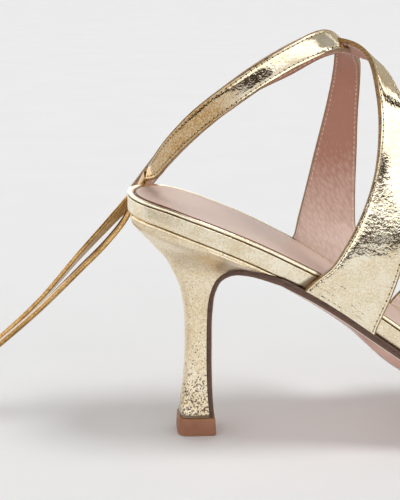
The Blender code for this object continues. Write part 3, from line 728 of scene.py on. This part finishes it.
def foil_leather(name, gold, deep, colours, crinkle, relief, gloss,
                 stitched=None, pits=None, tinted=None, strap_shade=None):
    """Goatskin with gold foil pressed on: a bright mirror, broken up by crinkles under a millimetre wide.

    crinkle is their width and relief their height in millimetres; gloss: the least and most roughness.
    stitched: sizes, where needle holes follow the UV map; pits: the heights between which the foil is cracked
    through to the leather; tinted: how far from the heel's back the foil starts to brown, and how far it is
    brown, a painted reflection; strap_shade: a point and a slope, x and z, of the strap edge beside which the
    foil is darkened, a painted shade.
    """
    material, tree, place = new_material(name, Metallic=1.0)
    bent = wandering(tree, place, 1.7, 1.2)
    grain = noise(tree, bent, 2.0 * crinkle, 1.5, Roughness=0.55)
    folds = node(tree, "TexVoronoi", bent, out="Distance", feature="DISTANCE_TO_EDGE",
                 sockets={"Scale": per_mm(2.2 * crinkle)})
    fleck = noise(tree, bent, 0.5, 1.0)
    wave = noise(tree, place, 4.5, 1.0)
    cloud = noise(tree, place, 8.0, 3.0)
    patch = ramp(tree, noise(tree, place, 2.1, 1.0), 0.5, 0.62)
    line = times(tree, ramp(tree, folds, 0.0, 0.045, 1.0, 0.0), patch)
    height = times(tree, grain, relief)
    height = times(tree, wave, 0.08, height)
    height = times(tree, line, -0.1 * relief, height)
    tone = mix(tree, ramp(tree, times(tree, fleck, 1.5, cloud), 1.1, 1.4), deep, gold)
    tone = mix(tree, times(tree, line, 0.3), tone, colours.gold_crease)
    # Painted reflection: towards the heel's back the foil is tinted browner, for warm gold mirrored in it.
    if tinted:
        back = times(tree, cloud, 0.02, node(tree, "SeparateXYZ", place, out="X"))
        share = ramp(tree, back, *[HEEL_SEAT_BACK[0] + x * MM + 0.01 for x in tinted])
        share = times(tree, share, ramp(tree, fleck, 0.4, 0.6, 0.35, 1.0))
        tone = mix(tree, share, tone, colours.painted_reflection_gold, blend_type="MULTIPLY")
    if pits:
        level = node(tree, "SeparateXYZ", place, out="Z")
        low = ramp(tree, level, pits[0] * MM, pits[1] * MM, 1.0, 0.0)
        crack = times(tree, low, 0.2, noise(tree, bent, 0.65, 1.0, Roughness=0.4))
        crack = ramp(tree, crack, 0.69, 0.77, 0.0, 0.85)
        seam = ramp(tree, level, (pits[0] - 0.4) * MM, pits[0] * MM, 0.85, 0.0)
        crack = node(tree, "Math", crack, seam, operation="MAXIMUM")
        height = times(tree, crack, -0.12, height)
        tone = mix(tree, crack, tone, colours.pit)
    # Painted shade: a strip beside a strap's edge is mixed towards deep rim paint, where the strap shades the
    # board.
    if strap_shade:
        point, slope = strap_shade
        square = np.array([-slope[1], 0.0, slope[0]]) / math.hypot(*slope)
        edge = float(square @ (HEEL_SEAT_BACK + np.array([point[0], 0.0, point[1]]) * MM))
        beside = node(tree, "VectorMath", place, square, out="Value", operation="DOT_PRODUCT")
        share = ramp(tree, off_from(tree, beside, edge), 0.5 * MM, 1.5 * MM, 0.8, 0.0)
        tone = mix(tree, share, tone, colours.rim_deep_and_strap_shade)
    # Needle holes: the leather showing in them and the shade inside them, painted dark.
    if stitched:
        hole = needle_holes(tree, stitched)
        height = times(tree, hole, -0.15, height)
        tone = mix(tree, hole, tone, colours.needle_hole_and_shade)
    finish_material(tree, tone, ramp(tree, cloud, *MIDTONES, *gloss), height)
    return material


def needle_holes(tree, sizes):
    """1 in each needle hole: the UV runs along the strap and in from its edge, in centimetres."""
    uv = node(tree, "TexCoord", out="UV")
    half_pitch = sizes.stitch_pitch / MM / 20.0
    inset = sizes.stitch_inset / MM / 10.0
    along = node(tree, "Math", node(tree, "SeparateXYZ", uv, out="X"), half_pitch, operation="PINGPONG")
    along = node(tree, "Math", along, half_pitch, operation="SUBTRACT")
    across = node(tree, "Math", node(tree, "SeparateXYZ", uv, out="Y"), inset, operation="SUBTRACT")
    away = node(tree, "CombineXYZ", along, across)
    away = node(tree, "VectorMath", away, out="Value", operation="LENGTH")
    return ramp(tree, away, 0.024, 0.044, 0.95, 0.0)


def lining_leather(name, light, deep, slant, heights):
    """Pigskin, dyed rose and plated smooth: a soft sheen over fine slanting wrinkles, browner higher up,
    which on the straps' lining is painted shade.

    slant turns the wrinkles about y from upright, in degrees; heights: where the brown starts and is full.
    """
    material, tree, place = new_material(name, Specular_IOR_Level=0.3, Sheen_Weight=0.1, Sheen_Roughness=0.5)
    turned = node(tree, "Mapping", wandering(tree, place, 2.5, 0.8), vector_type="TEXTURE",
                  sockets={"Rotation": (0.0, math.radians(slant), 0.0), "Scale": (1.0, 1.0, 3.0)})
    wrinkle = node(tree, "TexVoronoi", turned, out="Distance", feature="SMOOTH_F1",
                   sockets={"Scale": per_mm(0.8), "Smoothness": 0.5})
    pores = noise(tree, place, 0.45, 2.0)
    # Painted shade: the colour darkens with height, from the first height to the second.
    level = node(tree, "SeparateXYZ", place, out="Z")
    share = ramp(tree, level, heights[0] * MM, heights[1] * MM)
    share = times(tree, noise(tree, place, 12.0, 2.0), 0.3, share)
    share = times(tree, wrinkle, 0.35, share)
    tone = mix(tree, ramp(tree, share, 0.25, 1.25), light, deep)
    height = times(tree, pores, 0.02, times(tree, wrinkle, -0.09))
    finish_material(tree, tone, ramp(tree, pores, *MIDTONES, 0.4, 0.55), height)
    return material


def edge_paint_and_painted_light(name, light, deep):
    """Leather edge sealed with paint: a satin film with faint streaks along the cut; also used for painted
    shade and a painted highlight.
    """
    material, tree, place = new_material(name, Specular_IOR_Level=0.4)
    streak = noise(tree, node(tree, "Mapping", place, sockets={"Scale": (0.12, 0.5, 1.0)}), 0.6, 3.0)
    tone = mix(tree, ramp(tree, streak, *MIDTONES), deep, light)
    finish_material(tree, tone, ramp(tree, streak, *MIDTONES, 0.34, 0.5), times(tree, streak, 0.05))
    return material


def sole_varnish(name, colours):
    """Nude leather sole under a varnish: an even gloss over faint pores."""
    material, tree, place = new_material(name, Coat_Weight=0.8, Coat_Roughness=0.1)
    cloud = noise(tree, place, 11.0, 4.0)
    pores = noise(tree, place, 0.6, 2.0)
    tone = mix(tree, ramp(tree, cloud, *MIDTONES), colours.sole_deep, colours.sole)
    finish_material(tree, tone, ramp(tree, cloud, *MIDTONES, 0.28, 0.4), times(tree, pores, 0.02))
    return material


def tip_rubber(name, colours):
    """Moulded tan rubber: dull, with a faint mould grain and rubbed upper and lower edges."""
    material, tree, place = new_material(name, Specular_IOR_Level=0.35)
    grain = noise(tree, place, 0.4, 3.0)
    cloud = noise(tree, place, 4.0, 2.0)
    level = node(tree, "SeparateXYZ", place, out="Z")
    tone = mix(tree, ramp(tree, cloud, *MIDTONES), colours.rubber_deep, colours.rubber)
    middle = 0.5 * TIP_HEIGHT
    tinted = ramp(tree, off_from(tree, level, middle * MM), (middle - 0.9) * MM, middle * MM, 0.0, 0.6)
    tone = mix(tree, tinted, tone, colours.rubber_worn)
    finish_material(tree, tone, ramp(tree, grain, *MIDTONES, 0.48, 0.62), times(tree, grain, 0.03))
    return material


def twisted_thread(name, light, deep, gloss):
    """Twisted polyester thread: a soft lustre with fine dark turns, drawn coarse enough to show."""
    material, tree, place = new_material(name, Roughness=gloss)
    finish_material(tree, mix(tree, ramp(tree, noise(tree, place, 0.5, 1.0), 0.35, 0.65), deep, light))
    return material


def studio_cloth(name, light, deep):
    """Matt studio paper or cloth: even, with a barely visible fibre."""
    material, tree, place = new_material(name, Roughness=0.9, Specular_IOR_Level=0.1)
    finish_material(tree, mix(tree, ramp(tree, noise(tree, place, 60.0, 2.0), *MIDTONES), light, deep))
    return material


def length(label, text, default):
    """Length property in metres."""
    return bpy.props.FloatProperty(name=label, description=text, default=default, min=0.0, unit="LENGTH",
                                   precision=5)


def colour(label, text, code):
    """Colour property from an sRGB hex code."""
    return bpy.props.FloatVectorProperty(name=label, description=text, default=srgb(code), size=4, min=0.0,
                                         max=1.0, subtype="COLOR")


class SandalSizes(bpy.types.PropertyGroup):
    """Sizes of the sandal's leather and sewing."""

    strap_thick: length("Strap thickness", "Foil leather and lining together", 0.0014)
    strap_crown: length("Strap crown", "How far a strap's middle stands above its edges", 0.00012)
    tie_thick: length("Tie thickness", "Folded leather of the ties", 0.0016)
    stitch_pitch: length("Stitch pitch", "Distance from one needle hole to the next", 0.0019)
    stitch_inset: length("Stitch inset", "Distance of the stitching from the strap's edge", 0.0011)
    stitch_length: length("Stitch length", "Visible length of one stitch", 0.00135)
    stitch_width: length("Stitch width", "Thickness of the thread", 0.0004)
    stitch_groove: length("Stitch groove", "How deep the thread pulls the leather in", 0.00014)
    bead: length("Board bead", "Radius of the bead round the board's top", 0.0005)
    bead_groove: length("Bead groove", "Depth of the groove under the bead", 0.00045)


class SandalColours(bpy.types.PropertyGroup):
    """Colours of the sandal's materials."""

    gold: colour("Gold", "Foil where it lies smooth", "#FFF6E0")
    gold_deep: colour("Deep gold", "Foil in its darker flecks", "#EFDDBA")
    heel_gold: colour("Heel gold", "Foil stretched over the heel", "#FFF3DA")
    heel_gold_deep: colour("Deep heel gold", "Stretched foil in its darker flecks", "#EBD5AE")
    # Painted reflection: the brown that the strap foil is tinted towards the heel's back.
    painted_reflection_gold: colour("Rubbed gold", "Tint of foil rubbed thin towards the straps' ends", "#B8935A")
    tie_gold: colour("Tie gold", "Foil on the ties", "#BC9862")
    tie_gold_deep: colour("Deep tie gold", "Tie foil in its darker flecks", "#906C3E")
    rim: colour("Rim paint", "Gold-brown paint on the straps' cut edges", "#A27C46")
    # Also the colour of the painted shade on the board beside the crossed straps' bases.
    rim_deep_and_strap_shade: colour("Deep rim paint", "Rim paint in its streaks", "#644723")
    # Also the lighter streaks of the painted shade in the groove under the board's bead.
    gold_crease: colour("Gold creases", "Foil worn in its creases", "#8A6A3C")
    # Partly the leather in the needle holes, partly painted shade inside them.
    needle_hole_and_shade: colour("Needle holes", "Leather showing in needle holes", "#3A2A1A")
    pit: colour("Pits", "Leather showing where the foil has cracked", "#4E3521")
    lining: colour("Lining", "Rose lining leather", "#F0DED3")
    # Painted shade: the lining's colour towards the top of the straps, where it faces down and in.
    lining_shaded: colour("Deep lining", "Lining where it is handled", "#B07F6C")
    sock: colour("Sock", "Sock leather", "#D0B8A9")
    sock_deep: colour("Deep sock", "Sock in its grain", "#C2A392")
    sock_edge: colour("Sock edge", "Painted edge of the sock", "#8A4A38")
    edge: colour("Edge paint", "Brown paint on the outsole's edge", "#634839")
    edge_deep: colour("Deep edge paint", "Paint near the upper", "#3E2820")
    # Painted highlight: the pale band along the sole's lower bevel, where the floor is mirrored.
    edge_highlight: colour("Edge line", "Burnished line along the sole's lower edge", "#EADFD8")
    groove: colour("Groove", "Shadowed leather under the board's bead", "#3B2A18")
    sole: colour("Sole", "Varnished sole leather", "#C9A08F")
    sole_deep: colour("Deep sole", "Sole leather in its clouds", "#B98C7B")
    rubber: colour("Rubber", "Heel tip", "#9A6A51")
    rubber_deep: colour("Deep rubber", "Heel tip in its clouds", "#8E5F47")
    rubber_worn: colour("Worn rubber", "Rubbed edges of the heel tip", "#B0784C")
    thread: colour("Gold thread", "Thread on the foil side", "#C9B07C")
    thread_deep: colour("Deep gold thread", "Thread between its turns", "#8F7546")
    lining_thread: colour("Lining thread", "Thread on the lining side", "#EAD9CF")
    lining_thread_deep: colour("Deep lining thread", "Thread between its turns", "#C2A294")
    paper: colour("Paper", "Studio floor", "#EAEAEA")
    paper_deep: colour("Deep paper", "Studio floor in its fibre", "#E8E8E8")
    flag: colour("Flag", "Dark cloth that puts dark lines in the foil", "#33251A")
    flag_deep: colour("Deep flag", "Dark cloth in its fibre", "#241A12")
    card: colour("Card", "Grey card past the toe, that shows in the foil", "#BDB5A8")
    card_deep: colour("Deep card", "Card in its fibre", "#B0A798")


class SANDAL_OT_stage(bpy.types.Operator):
    """Camera at the photograph's angle, pale paper sweep and soft studio light."""

    bl_idname = "sandal.stage"
    bl_label = "Stage"

    def execute(self, context):
        turn, pitch = math.radians(VIEW_TURN), math.radians(VIEW_PITCH)
        level = math.cos(pitch)
        ahead = np.array([math.sin(turn) * level, math.cos(turn) * level, -math.sin(pitch)])
        place = HEEL_SEAT_BACK + (np.array(VIEW_AIM) - VIEW_DISTANCE * ahead) * MM
        facing = Vector(ahead).to_track_quat("-Z", "Y").to_euler()
        bpy.ops.object.camera_add(location=place.tolist(), rotation=facing)
        camera = context.object
        camera.data.lens = VIEW_LENS
        camera.data.sensor_width = 36.0
        camera.data.clip_start = 0.01
        context.scene.camera = camera
        context.scene.view_settings.view_transform = "Standard"
        self.add_floor(context.scene.sandal_colours)
        self.add_flags(context.scene.sandal_colours)
        self.add_lights(context)
        return {"FINISHED"}

    def add_ring(self, name, radii, heights, arc=(-180.0, 180.0)):
        """Stage piece swept round the shoe between two angles, with a radius and a height for each ring."""
        angle = np.radians(np.linspace(*arc, 65))
        around = np.stack([np.cos(angle), np.sin(angle)], axis=1)
        middle = np.array([0.5 * SHOE_LENGTH, 0.0])
        flat = middle + around[:, None] * np.asarray(radii)[None, :, None]
        rise = np.repeat(np.asarray(heights)[None], len(angle), axis=0)
        points = np.concatenate([flat, rise[..., None]], axis=-1)
        piece = start_grid(name, points, np.zeros((*points.shape[:2], 2)))
        sew_shut(piece)
        shade(piece)
        return piece

    def add_floor(self, colours):
        """Paper that lies flat under the shoe and sweeps up far away on every side."""
        paper = studio_cloth("studio_paper", colours.paper, colours.paper_deep)
        radii = np.concatenate([[FLOOR_NEAR, FLOOR_FLAT], np.linspace(FLOOR_BEND, FLOOR_END, 12)])
        rise = np.clip((radii - FLOOR_BEND) / (FLOOR_END - FLOOR_BEND), 0.0, 1.0) ** 2 * FLOOR_RISE
        far = self.add_ring("far_floor", radii, rise)
        far.visible_glossy = False
        for floor in (self.add_ring("floor", [0.0, 300.0, FLOOR_NEAR], [0.0, 0.0, 0.0]), far):
            turn_to(floor, (0.0, 0.0, 1.0))
            floor.data.materials.append(paper)

    def add_flags(self, colours):
        """Dark cloth and a grey card round the shoe, that only show as reflections in the foil."""
        materials = {"cloth": studio_cloth("flag_cloth", colours.flag, colours.flag_deep),
                     "card": studio_cloth("flag_card", colours.card, colours.card_deep)}
        for row in FLAGS:
            flag = self.add_ring(row.name, row.radii, row.heights, row.arc)
            flag.data.materials.append(materials[row.stuff])
            flag.visible_camera = False
            flag.visible_diffuse = False
            flag.visible_shadow = False

    def add_lights(self, context):
        """A broad light overhead, in a room that is bright above eye level and dark under its ceiling."""
        facing = (math.radians(LIGHT_TILT), math.radians(LIGHT_LEAN), 0.0)
        bpy.ops.object.light_add(type="SUN", rotation=facing)
        overhead = context.object
        overhead.name = "overhead"
        overhead.data.energy = LIGHT_ENERGY
        overhead.data.angle = math.radians(LIGHT_WIDTH)
        world = bpy.data.worlds.new("studio")
        world.use_nodes = True
        tree = world.node_tree
        level = node(tree, "SeparateXYZ", node(tree, "TexCoord", out="Generated"), out="Z")
        grey = node(tree, "ValToRGB", ramp(tree, level, -1.0, 1.0))
        stops = grey.node.color_ramp.elements
        while len(stops) < len(ROOM):
            stops.new(0.5)
        for stop, (height, brightness) in zip(stops, ROOM):
            stop.position = 0.5 + 0.5 * height
            stop.color = (brightness, brightness, brightness, 1.0)
        background = tree.nodes["Background"]
        tree.links.new(grey, background.inputs["Color"])
        background.inputs["Strength"].default_value = ROOM_STRENGTH
        context.scene.world = world


class SANDAL_OT_ties(bpy.types.Operator):
    """The two free ties of folded foil leather."""

    bl_idname = "sandal.ties"
    bl_label = "Ties"

    def execute(self, context):
        sizes, colours = context.scene.sandal_sizes, context.scene.sandal_colours
        material = foil_leather("tie_foil_leather", colours.tie_gold, colours.tie_gold_deep, colours,
                                0.6, 0.04, (0.1, 0.2))
        for name, rows in (("tie_far", FAR_TIE), ("tie_near", NEAR_TIE)):
            self.add_tie(name, rows, sizes, material)
        return {"FINISHED"}

    def add_tie(self, name, rows, sizes, material):
        """One flat tie, rounded at its edges and marked by the fold along its middle."""
        distances = np.linspace(0.0, row_distances(rows)[-1], 150)
        ribbon = Ribbon(rows, distances, sizes.tie_thick / MM)
        offset = columns(ribbon.width - 0.5, (0.0, 0.5, 1.0), 3)
        edge = ribbon.width[:, None] / 2.0 - np.abs(offset)
        fold = 0.12 * np.exp(-((edge - 0.9) / 0.25) ** 2)
        points = ribbon.surface(offset) - fold[..., None] * ribbon.face[:, None]
        along = np.repeat(ribbon.along[:, None], offset.shape[1], axis=1)
        piece = start_grid(name + "_leather", points, np.stack([along, edge], axis=-1) / 10.0)
        turn_to(piece, ribbon.face[0])
        thicken(piece, sizes.tie_thick)
        modify(piece, "SUBSURF", levels=1, render_levels=1)
        piece.data.materials.append(material)
        shade(piece)
        belongs(piece, name)


class SANDAL_OT_board(bpy.types.Operator):
    """Insole board wrapped in foil leather, with a bead round its top."""

    bl_idname = "sandal.board"
    bl_label = "Insole board"

    def execute(self, context):
        sizes, colours = context.scene.sandal_sizes, context.scene.sandal_colours
        x, across, up = board_stations()
        line = np.stack([x, underside(x)], axis=1)
        bead = sizes.bead / MM
        low = BOARD_THICK + BEAD_STAND - 2.0 * bead
        border = SOCK_INSET - GAP
        layers = [(None, 0.0), (2.0, 0.0), (0.7, 0.0), (0.2, 0.2), (0.0, 0.7), (0.0, 2.0), (0.0, 3.6),
                  (0.0, low - 0.75), (0.0, low - 0.6), (0.06, low - 0.5),
                  (sizes.bead_groove / MM, low - 0.42)]
        for inset, rise in ((0.12, 0.0), (0.0, 0.12), (0.02, 0.9), (0.35, 1.7), (0.8, 1.95), (1.2, 2.0)):
            layers.append((bead * inset, low + bead * rise))
        layers += [(border - 0.9, BOARD_THICK - 0.05), (border - 0.3, BOARD_THICK - 0.2),
                   (border, BOARD_THICK - 0.55), (border + 0.1, BOARD_THICK - SOCK_SEAT),
                   (None, BOARD_THICK - SOCK_SEAT)]
        piece = closed_rim("board_wrap", line, across, up, layers)
        # The last argument paints shade on the board beside the rear edges of the crossed straps' bases.
        foil = foil_leather("board_foil_leather", colours.gold, colours.gold_deep, colours, 0.25, 0.02,
                            (0.24, 0.32), strap_shade=((56.6, 60.2), (6.9, 4.4)))
        # Painted shade: the groove's faces under the bead are coloured dark where shade falls.
        dark = edge_paint_and_painted_light("bead_groove_painted_shade", colours.gold_crease, colours.groove)
        paint_faces(piece, [foil, dark], lambda u, v, old: np.where((v > 9.2) & (v < 11.8), 1, 0))
        shade(piece, 70.0)
        belongs(piece, "insole_board")
        return {"FINISHED"}


class SANDAL_OT_sock(bpy.types.Operator):
    """Rose leather sock on the board."""

    bl_idname = "sandal.sock"
    bl_label = "Sock"

    def execute(self, context):
        colours = context.scene.sandal_colours
        x, across, up = board_stations()
        line = np.stack([x, underside(x) + (BOARD_THICK - SOCK_SEAT) * upright(x) + GAP], axis=1)
        layers = [(None, 0.0), (SOCK_INSET + 0.1, 0.0), (SOCK_INSET, 0.15), (SOCK_INSET, SOCK_THICK - 0.35),
                  (SOCK_INSET + 0.12, SOCK_THICK - 0.12)]
        layers += [(SOCK_INSET + inset, SOCK_THICK) for inset in (0.4, 1.2, 2.5, 6.0)]
        layers.append((None, SOCK_THICK))
        piece = closed_rim("sock_lining", line, across, up, layers)
        leather = lining_leather("sock_leather", colours.sock, colours.sock_deep, 60.0, (20.0, 160.0))
        paint = edge_paint_and_painted_light("sock_edge_paint", colours.sock_edge, colours.edge_deep)
        paint_faces(piece, [leather, paint], lambda u, v, old: np.where(v < 4.6, 1, 0))
        shade(piece, 70.0)
        belongs(piece, "insole_sock")
        return {"FINISHED"}


class SANDAL_OT_outsole(bpy.types.Operator):
    """Outsole with painted edges and a varnished underside, running down the front of the heel."""

    bl_idname = "sandal.outsole"
    bl_label = "Outsole"

    def execute(self, context):
        colours = context.scene.sandal_colours
        line, across, thick = self.stations()
        tangent = unit(np.gradient(line, axis=0))
        down = np.stack([-tangent[:, 1], tangent[:, 0]], axis=1)
        drop = crown(line[:, 0])
        half = 0.5 * (across[:, 1] - across[:, 0])
        shoulder = np.minimum(SHOULDER, 0.4 * half + 0.4)
        layers = [(None, SEATED), (1.6, SEATED), (0.2, SEATED), (0.05, 0.0), (0.0, 0.3), (0.0, 0.5 * thick),
                  (0.0, thick - 0.65), (0.15, thick - 0.25), (0.6, thick),
                  (0.25 * shoulder, thick + 0.3 * drop), (0.6 * shoulder, thick + 0.75 * drop),
                  (shoulder, thick + drop), (None, thick + drop)]
        piece = closed_rim("outsole_leather", line, across, down, layers)
        finishes = [edge_paint_and_painted_light("sole_upper_edge_paint", colours.edge, colours.edge_deep),
                    edge_paint_and_painted_light("sole_edge_paint", colours.edge, colours.edge),
                    # Painted highlight on the bevel along the sole's lower edge.
                    edge_paint_and_painted_light("sole_edge_painted_highlight", colours.edge_highlight, colours.edge_highlight),
                    sole_varnish("sole_varnished_leather", colours)]
        paint_faces(piece, finishes, lambda u, v, old: np.digitize(v, (5.0, 6.9, 8.2)))
        shade(piece, 60.0)
        belongs(piece, "outsole")
        return {"FINISHED"}

    def stations(self):
        """Upper line, edges and thickness from the toe to the foot of the flap."""
        first = BREAST_FLAP[0]
        toe = SHOE_LENGTH + SOLE_MARGIN
        x = even_stations(toe, 2 * first.x - toe, 280)
        x = x[x > first.x + 4.0]
        centre, half = outline(x, SOLE_MARGIN * np.clip((x - first.x) / 10.0, 0.2, 1.0))
        half[0] = 0.0
        ahead = np.clip((x - WAIST_BACK) / (WAIST_FRONT - WAIST_BACK), 0.0, 1.0)
        thick = first.thick + (SOLE_THICK - first.thick) * ahead ** 2 * (3.0 - 2.0 * ahead)
        part = np.stack([x, sole_top(x), half, centre, thick], axis=1)
        rows = [(r.x, r.z, r.half, 0.0, r.thick) for r in BREAST_FLAP]
        joined = [(r[0], r[1], 0.0, r[2], r[3], r[4]) for r in [part[-1]] + rows]
        flap = smooth_rows(joined, np.linspace(0.0, row_distances(joined)[-1], 90))[1:, (0, 1, 3, 4, 5)]
        data = np.concatenate([part, flap])
        across = np.stack([data[:, 3] - data[:, 2], data[:, 3] + data[:, 2]], axis=1)
        return data[:, :2], across, data[:, 4]


def d_loop(back, front, half, power):
    """Closed D-shaped loop from its round back along the near side, across the flat front and home."""
    s = from_back()
    side = half * (1.0 - (1.0 - s) ** power) ** (1.0 / power)
    return mirrored_loop(back[0] + s * (front[0] - back[0]), side, back[1] + s * (front[1] - back[1]))


def mirrored_loop(x, half, z):
    """Closed loop along the near side from the back, across the front and home along the far side."""
    cross = np.linspace(-1.0, 1.0, 9)[1:-1]
    loop_x = np.concatenate([x, np.full(len(cross), x[-1]), x[::-1]])
    loop_y = np.concatenate([-half, cross * half[-1], half[::-1]])
    loop_z = np.concatenate([z, np.full(len(cross), z[-1]), z[::-1]])
    return np.stack([loop_x, loop_y, loop_z], axis=1)


def middle_line(loop):
    """A loop pressed flat onto its own middle line."""
    flat = loop.copy()
    flat[:, 1] = 0.0
    return flat


def lofted(name, loops):
    """Closed body through loops, each end pressed shut along its middle line."""
    loops = [middle_line(loops[0])] + loops + [middle_line(loops[-1])]
    points = np.stack(loops, axis=1)
    u, v = np.meshgrid(np.arange(points.shape[0]), np.arange(points.shape[1]), indexing="ij")
    piece = start_grid(name, points, np.stack([u, v], axis=-1).astype(float))
    sew_shut(piece)
    return piece


class SANDAL_OT_heel(bpy.types.Operator):
    """Flared heel covered in foil leather."""

    bl_idname = "sandal.heel"
    bl_label = "Heel"

    def execute(self, context):
        colours = context.scene.sandal_colours
        x = HEEL_BACK + (HEEL_FRONT - HEEL_BACK) * from_back()
        half = outline(x)[1] - HEEL_INSET
        half[0] = 0.0
        top = sole_top(x)
        rows = [(r.back_x, 0.0, r.back_z, r.front_x, r.front_z, r.half, r.power) for r in HEEL_RINGS]
        rings = smooth_rows(rows, np.linspace(0.0, row_distances(rows)[-1], 110))
        first = HEEL_RINGS[0]
        below = np.interp(x, [first.back_x, first.front_x], [first.back_z, first.front_z])
        room = np.clip(top - below, 0.0, None)
        loops = []
        for inset, drop in ROLLED_EDGE:
            loops.append(mirrored_loop(x, np.maximum(half - inset, 0.0), top - np.minimum(drop, 0.5 * room)))
        for back_x, _, back_z, front_x, front_z, ring_half, power in rings:
            loops.append(d_loop((back_x, back_z), (front_x, front_z), ring_half, power))
        piece = lofted("heel_cover", loops)
        shade(piece, 60.0)
        foil = foil_leather("heel_foil_leather", colours.heel_gold, colours.heel_gold_deep, colours,
                            0.25, 0.03, (0.28, 0.38), pits=(8.0, 40.0))
        piece.data.materials.append(foil)
        belongs(piece, "heel")
        return {"FINISHED"}


class SANDAL_OT_tip(bpy.types.Operator):
    """Moulded rubber heel tip."""

    bl_idname = "sandal.tip"
    bl_label = "Heel tip"

    def execute(self, context):
        colours = context.scene.sandal_colours
        loops = []
        for inset, z in ((0.9, 0.0), (0.35, 0.12), (0.1, 0.45), (0.0, 1.0), (0.12, 3.0),
                         (0.25, TIP_HEIGHT - 0.5), (0.4, TIP_HEIGHT - 0.15), (0.8, TIP_HEIGHT)):
            loops.append(d_loop((TIP_BACK + inset, z), (TIP_FRONT - inset, z), TIP_HALF - inset, TIP_POWER))
        piece = lofted("tip_rubber", loops)
        shade(piece, 60.0)
        piece.data.materials.append(tip_rubber("tip_moulded_rubber", colours))
        belongs(piece, "heel_tip")
        return {"FINISHED"}


class SANDAL_OT_straps(bpy.types.Operator):
    """The two crossed straps and the front strap, each lined and stitched along both edges."""

    bl_idname = "sandal.straps"
    bl_label = "Straps"

    def execute(self, context):
        sizes, colours = context.scene.sandal_sizes, context.scene.sandal_colours
        # The strap foil browns towards the heel's back as a painted reflection.
        foil = foil_leather("strap_foil_leather", colours.gold, colours.gold_deep, colours,
                            0.5, 0.05, (0.05, 0.1), stitched=sizes, tinted=(46.0, 28.0))
        # The lining darkens from 50 to 100 mm up as painted shade.
        lining = lining_leather("strap_lining_leather", colours.lining, colours.lining_shaded, -30.0,
                                (50.0, 100.0))
        edge = edge_paint_and_painted_light("strap_rim_paint", colours.rim, colours.rim_deep_and_strap_shade)
        gold_thread = twisted_thread("gold_thread", colours.thread, colours.thread_deep, 0.45)
        rose_thread = twisted_thread("lining_thread", colours.lining_thread, colours.lining_thread_deep, 0.6)
        for name, rows, feet, creases, cad, slot in (
                ("outer_strap", OUTER_STRAP, (0,), OUTER_CREASES, "cross_straps", "strap_leather"),
                ("inner_strap", INNER_STRAP, (0,), INNER_CREASES, "cross_straps", "strap_leather"),
                ("front_strap_leather", FRONT_STRAP, (0, -1), FRONT_CREASES, "front_strap", "front_leather")):
            piece, ribbon = build_strap(name, rows, feet, creases, sizes, [foil, lining, edge])
            belongs(piece, cad)
            for side, word, thread in ((1.0, "outside", gold_thread), (-1.0, "lining", rose_thread)):
                stitches = build_stitches(f"{name}_stitches_{word}", ribbon, side, sizes, thread)
                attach(stitches, "root")
        return {"FINISHED"}


class SANDAL_PT_panel(bpy.types.Panel):
    """The sandal's pieces, sizes and colours in the sidebar."""

    bl_label = "Sandal"
    bl_idname = "SANDAL_PT_panel"
    bl_space_type = "VIEW_3D"
    bl_region_type = "UI"
    bl_category = "Sandal"

    def draw(self, context):
        for operator in OPERATORS:
            self.layout.operator(operator.bl_idname)
        for group in (context.scene.sandal_sizes, context.scene.sandal_colours):
            box = self.layout.box()
            for name in group.bl_rna.properties.keys():
                if name not in ("rna_type", "name"):
                    box.prop(group, name)


OPERATORS = (SANDAL_OT_stage, SANDAL_OT_ties, SANDAL_OT_board, SANDAL_OT_sock, SANDAL_OT_outsole,
             SANDAL_OT_heel, SANDAL_OT_tip, SANDAL_OT_straps)
CLASSES = (SandalSizes, SandalColours, *OPERATORS, SANDAL_PT_panel)


def register():
    for cls in CLASSES:
        bpy.utils.register_class(cls)
    bpy.types.Scene.sandal_sizes = bpy.props.PointerProperty(type=SandalSizes)
    bpy.types.Scene.sandal_colours = bpy.props.PointerProperty(type=SandalColours)


def unregister():
    del bpy.types.Scene.sandal_sizes
    del bpy.types.Scene.sandal_colours
    for cls in reversed(CLASSES):
        bpy.utils.unregister_class(cls)


def main():
    register()
    bpy.ops.sandal.stage()
    bpy.ops.sandal.ties()
    bpy.ops.sandal.board()
    bpy.ops.sandal.sock()
    bpy.ops.sandal.outsole()
    bpy.ops.sandal.heel()
    bpy.ops.sandal.tip()
    bpy.ops.sandal.straps()


if __name__ == "__main__":
    main()
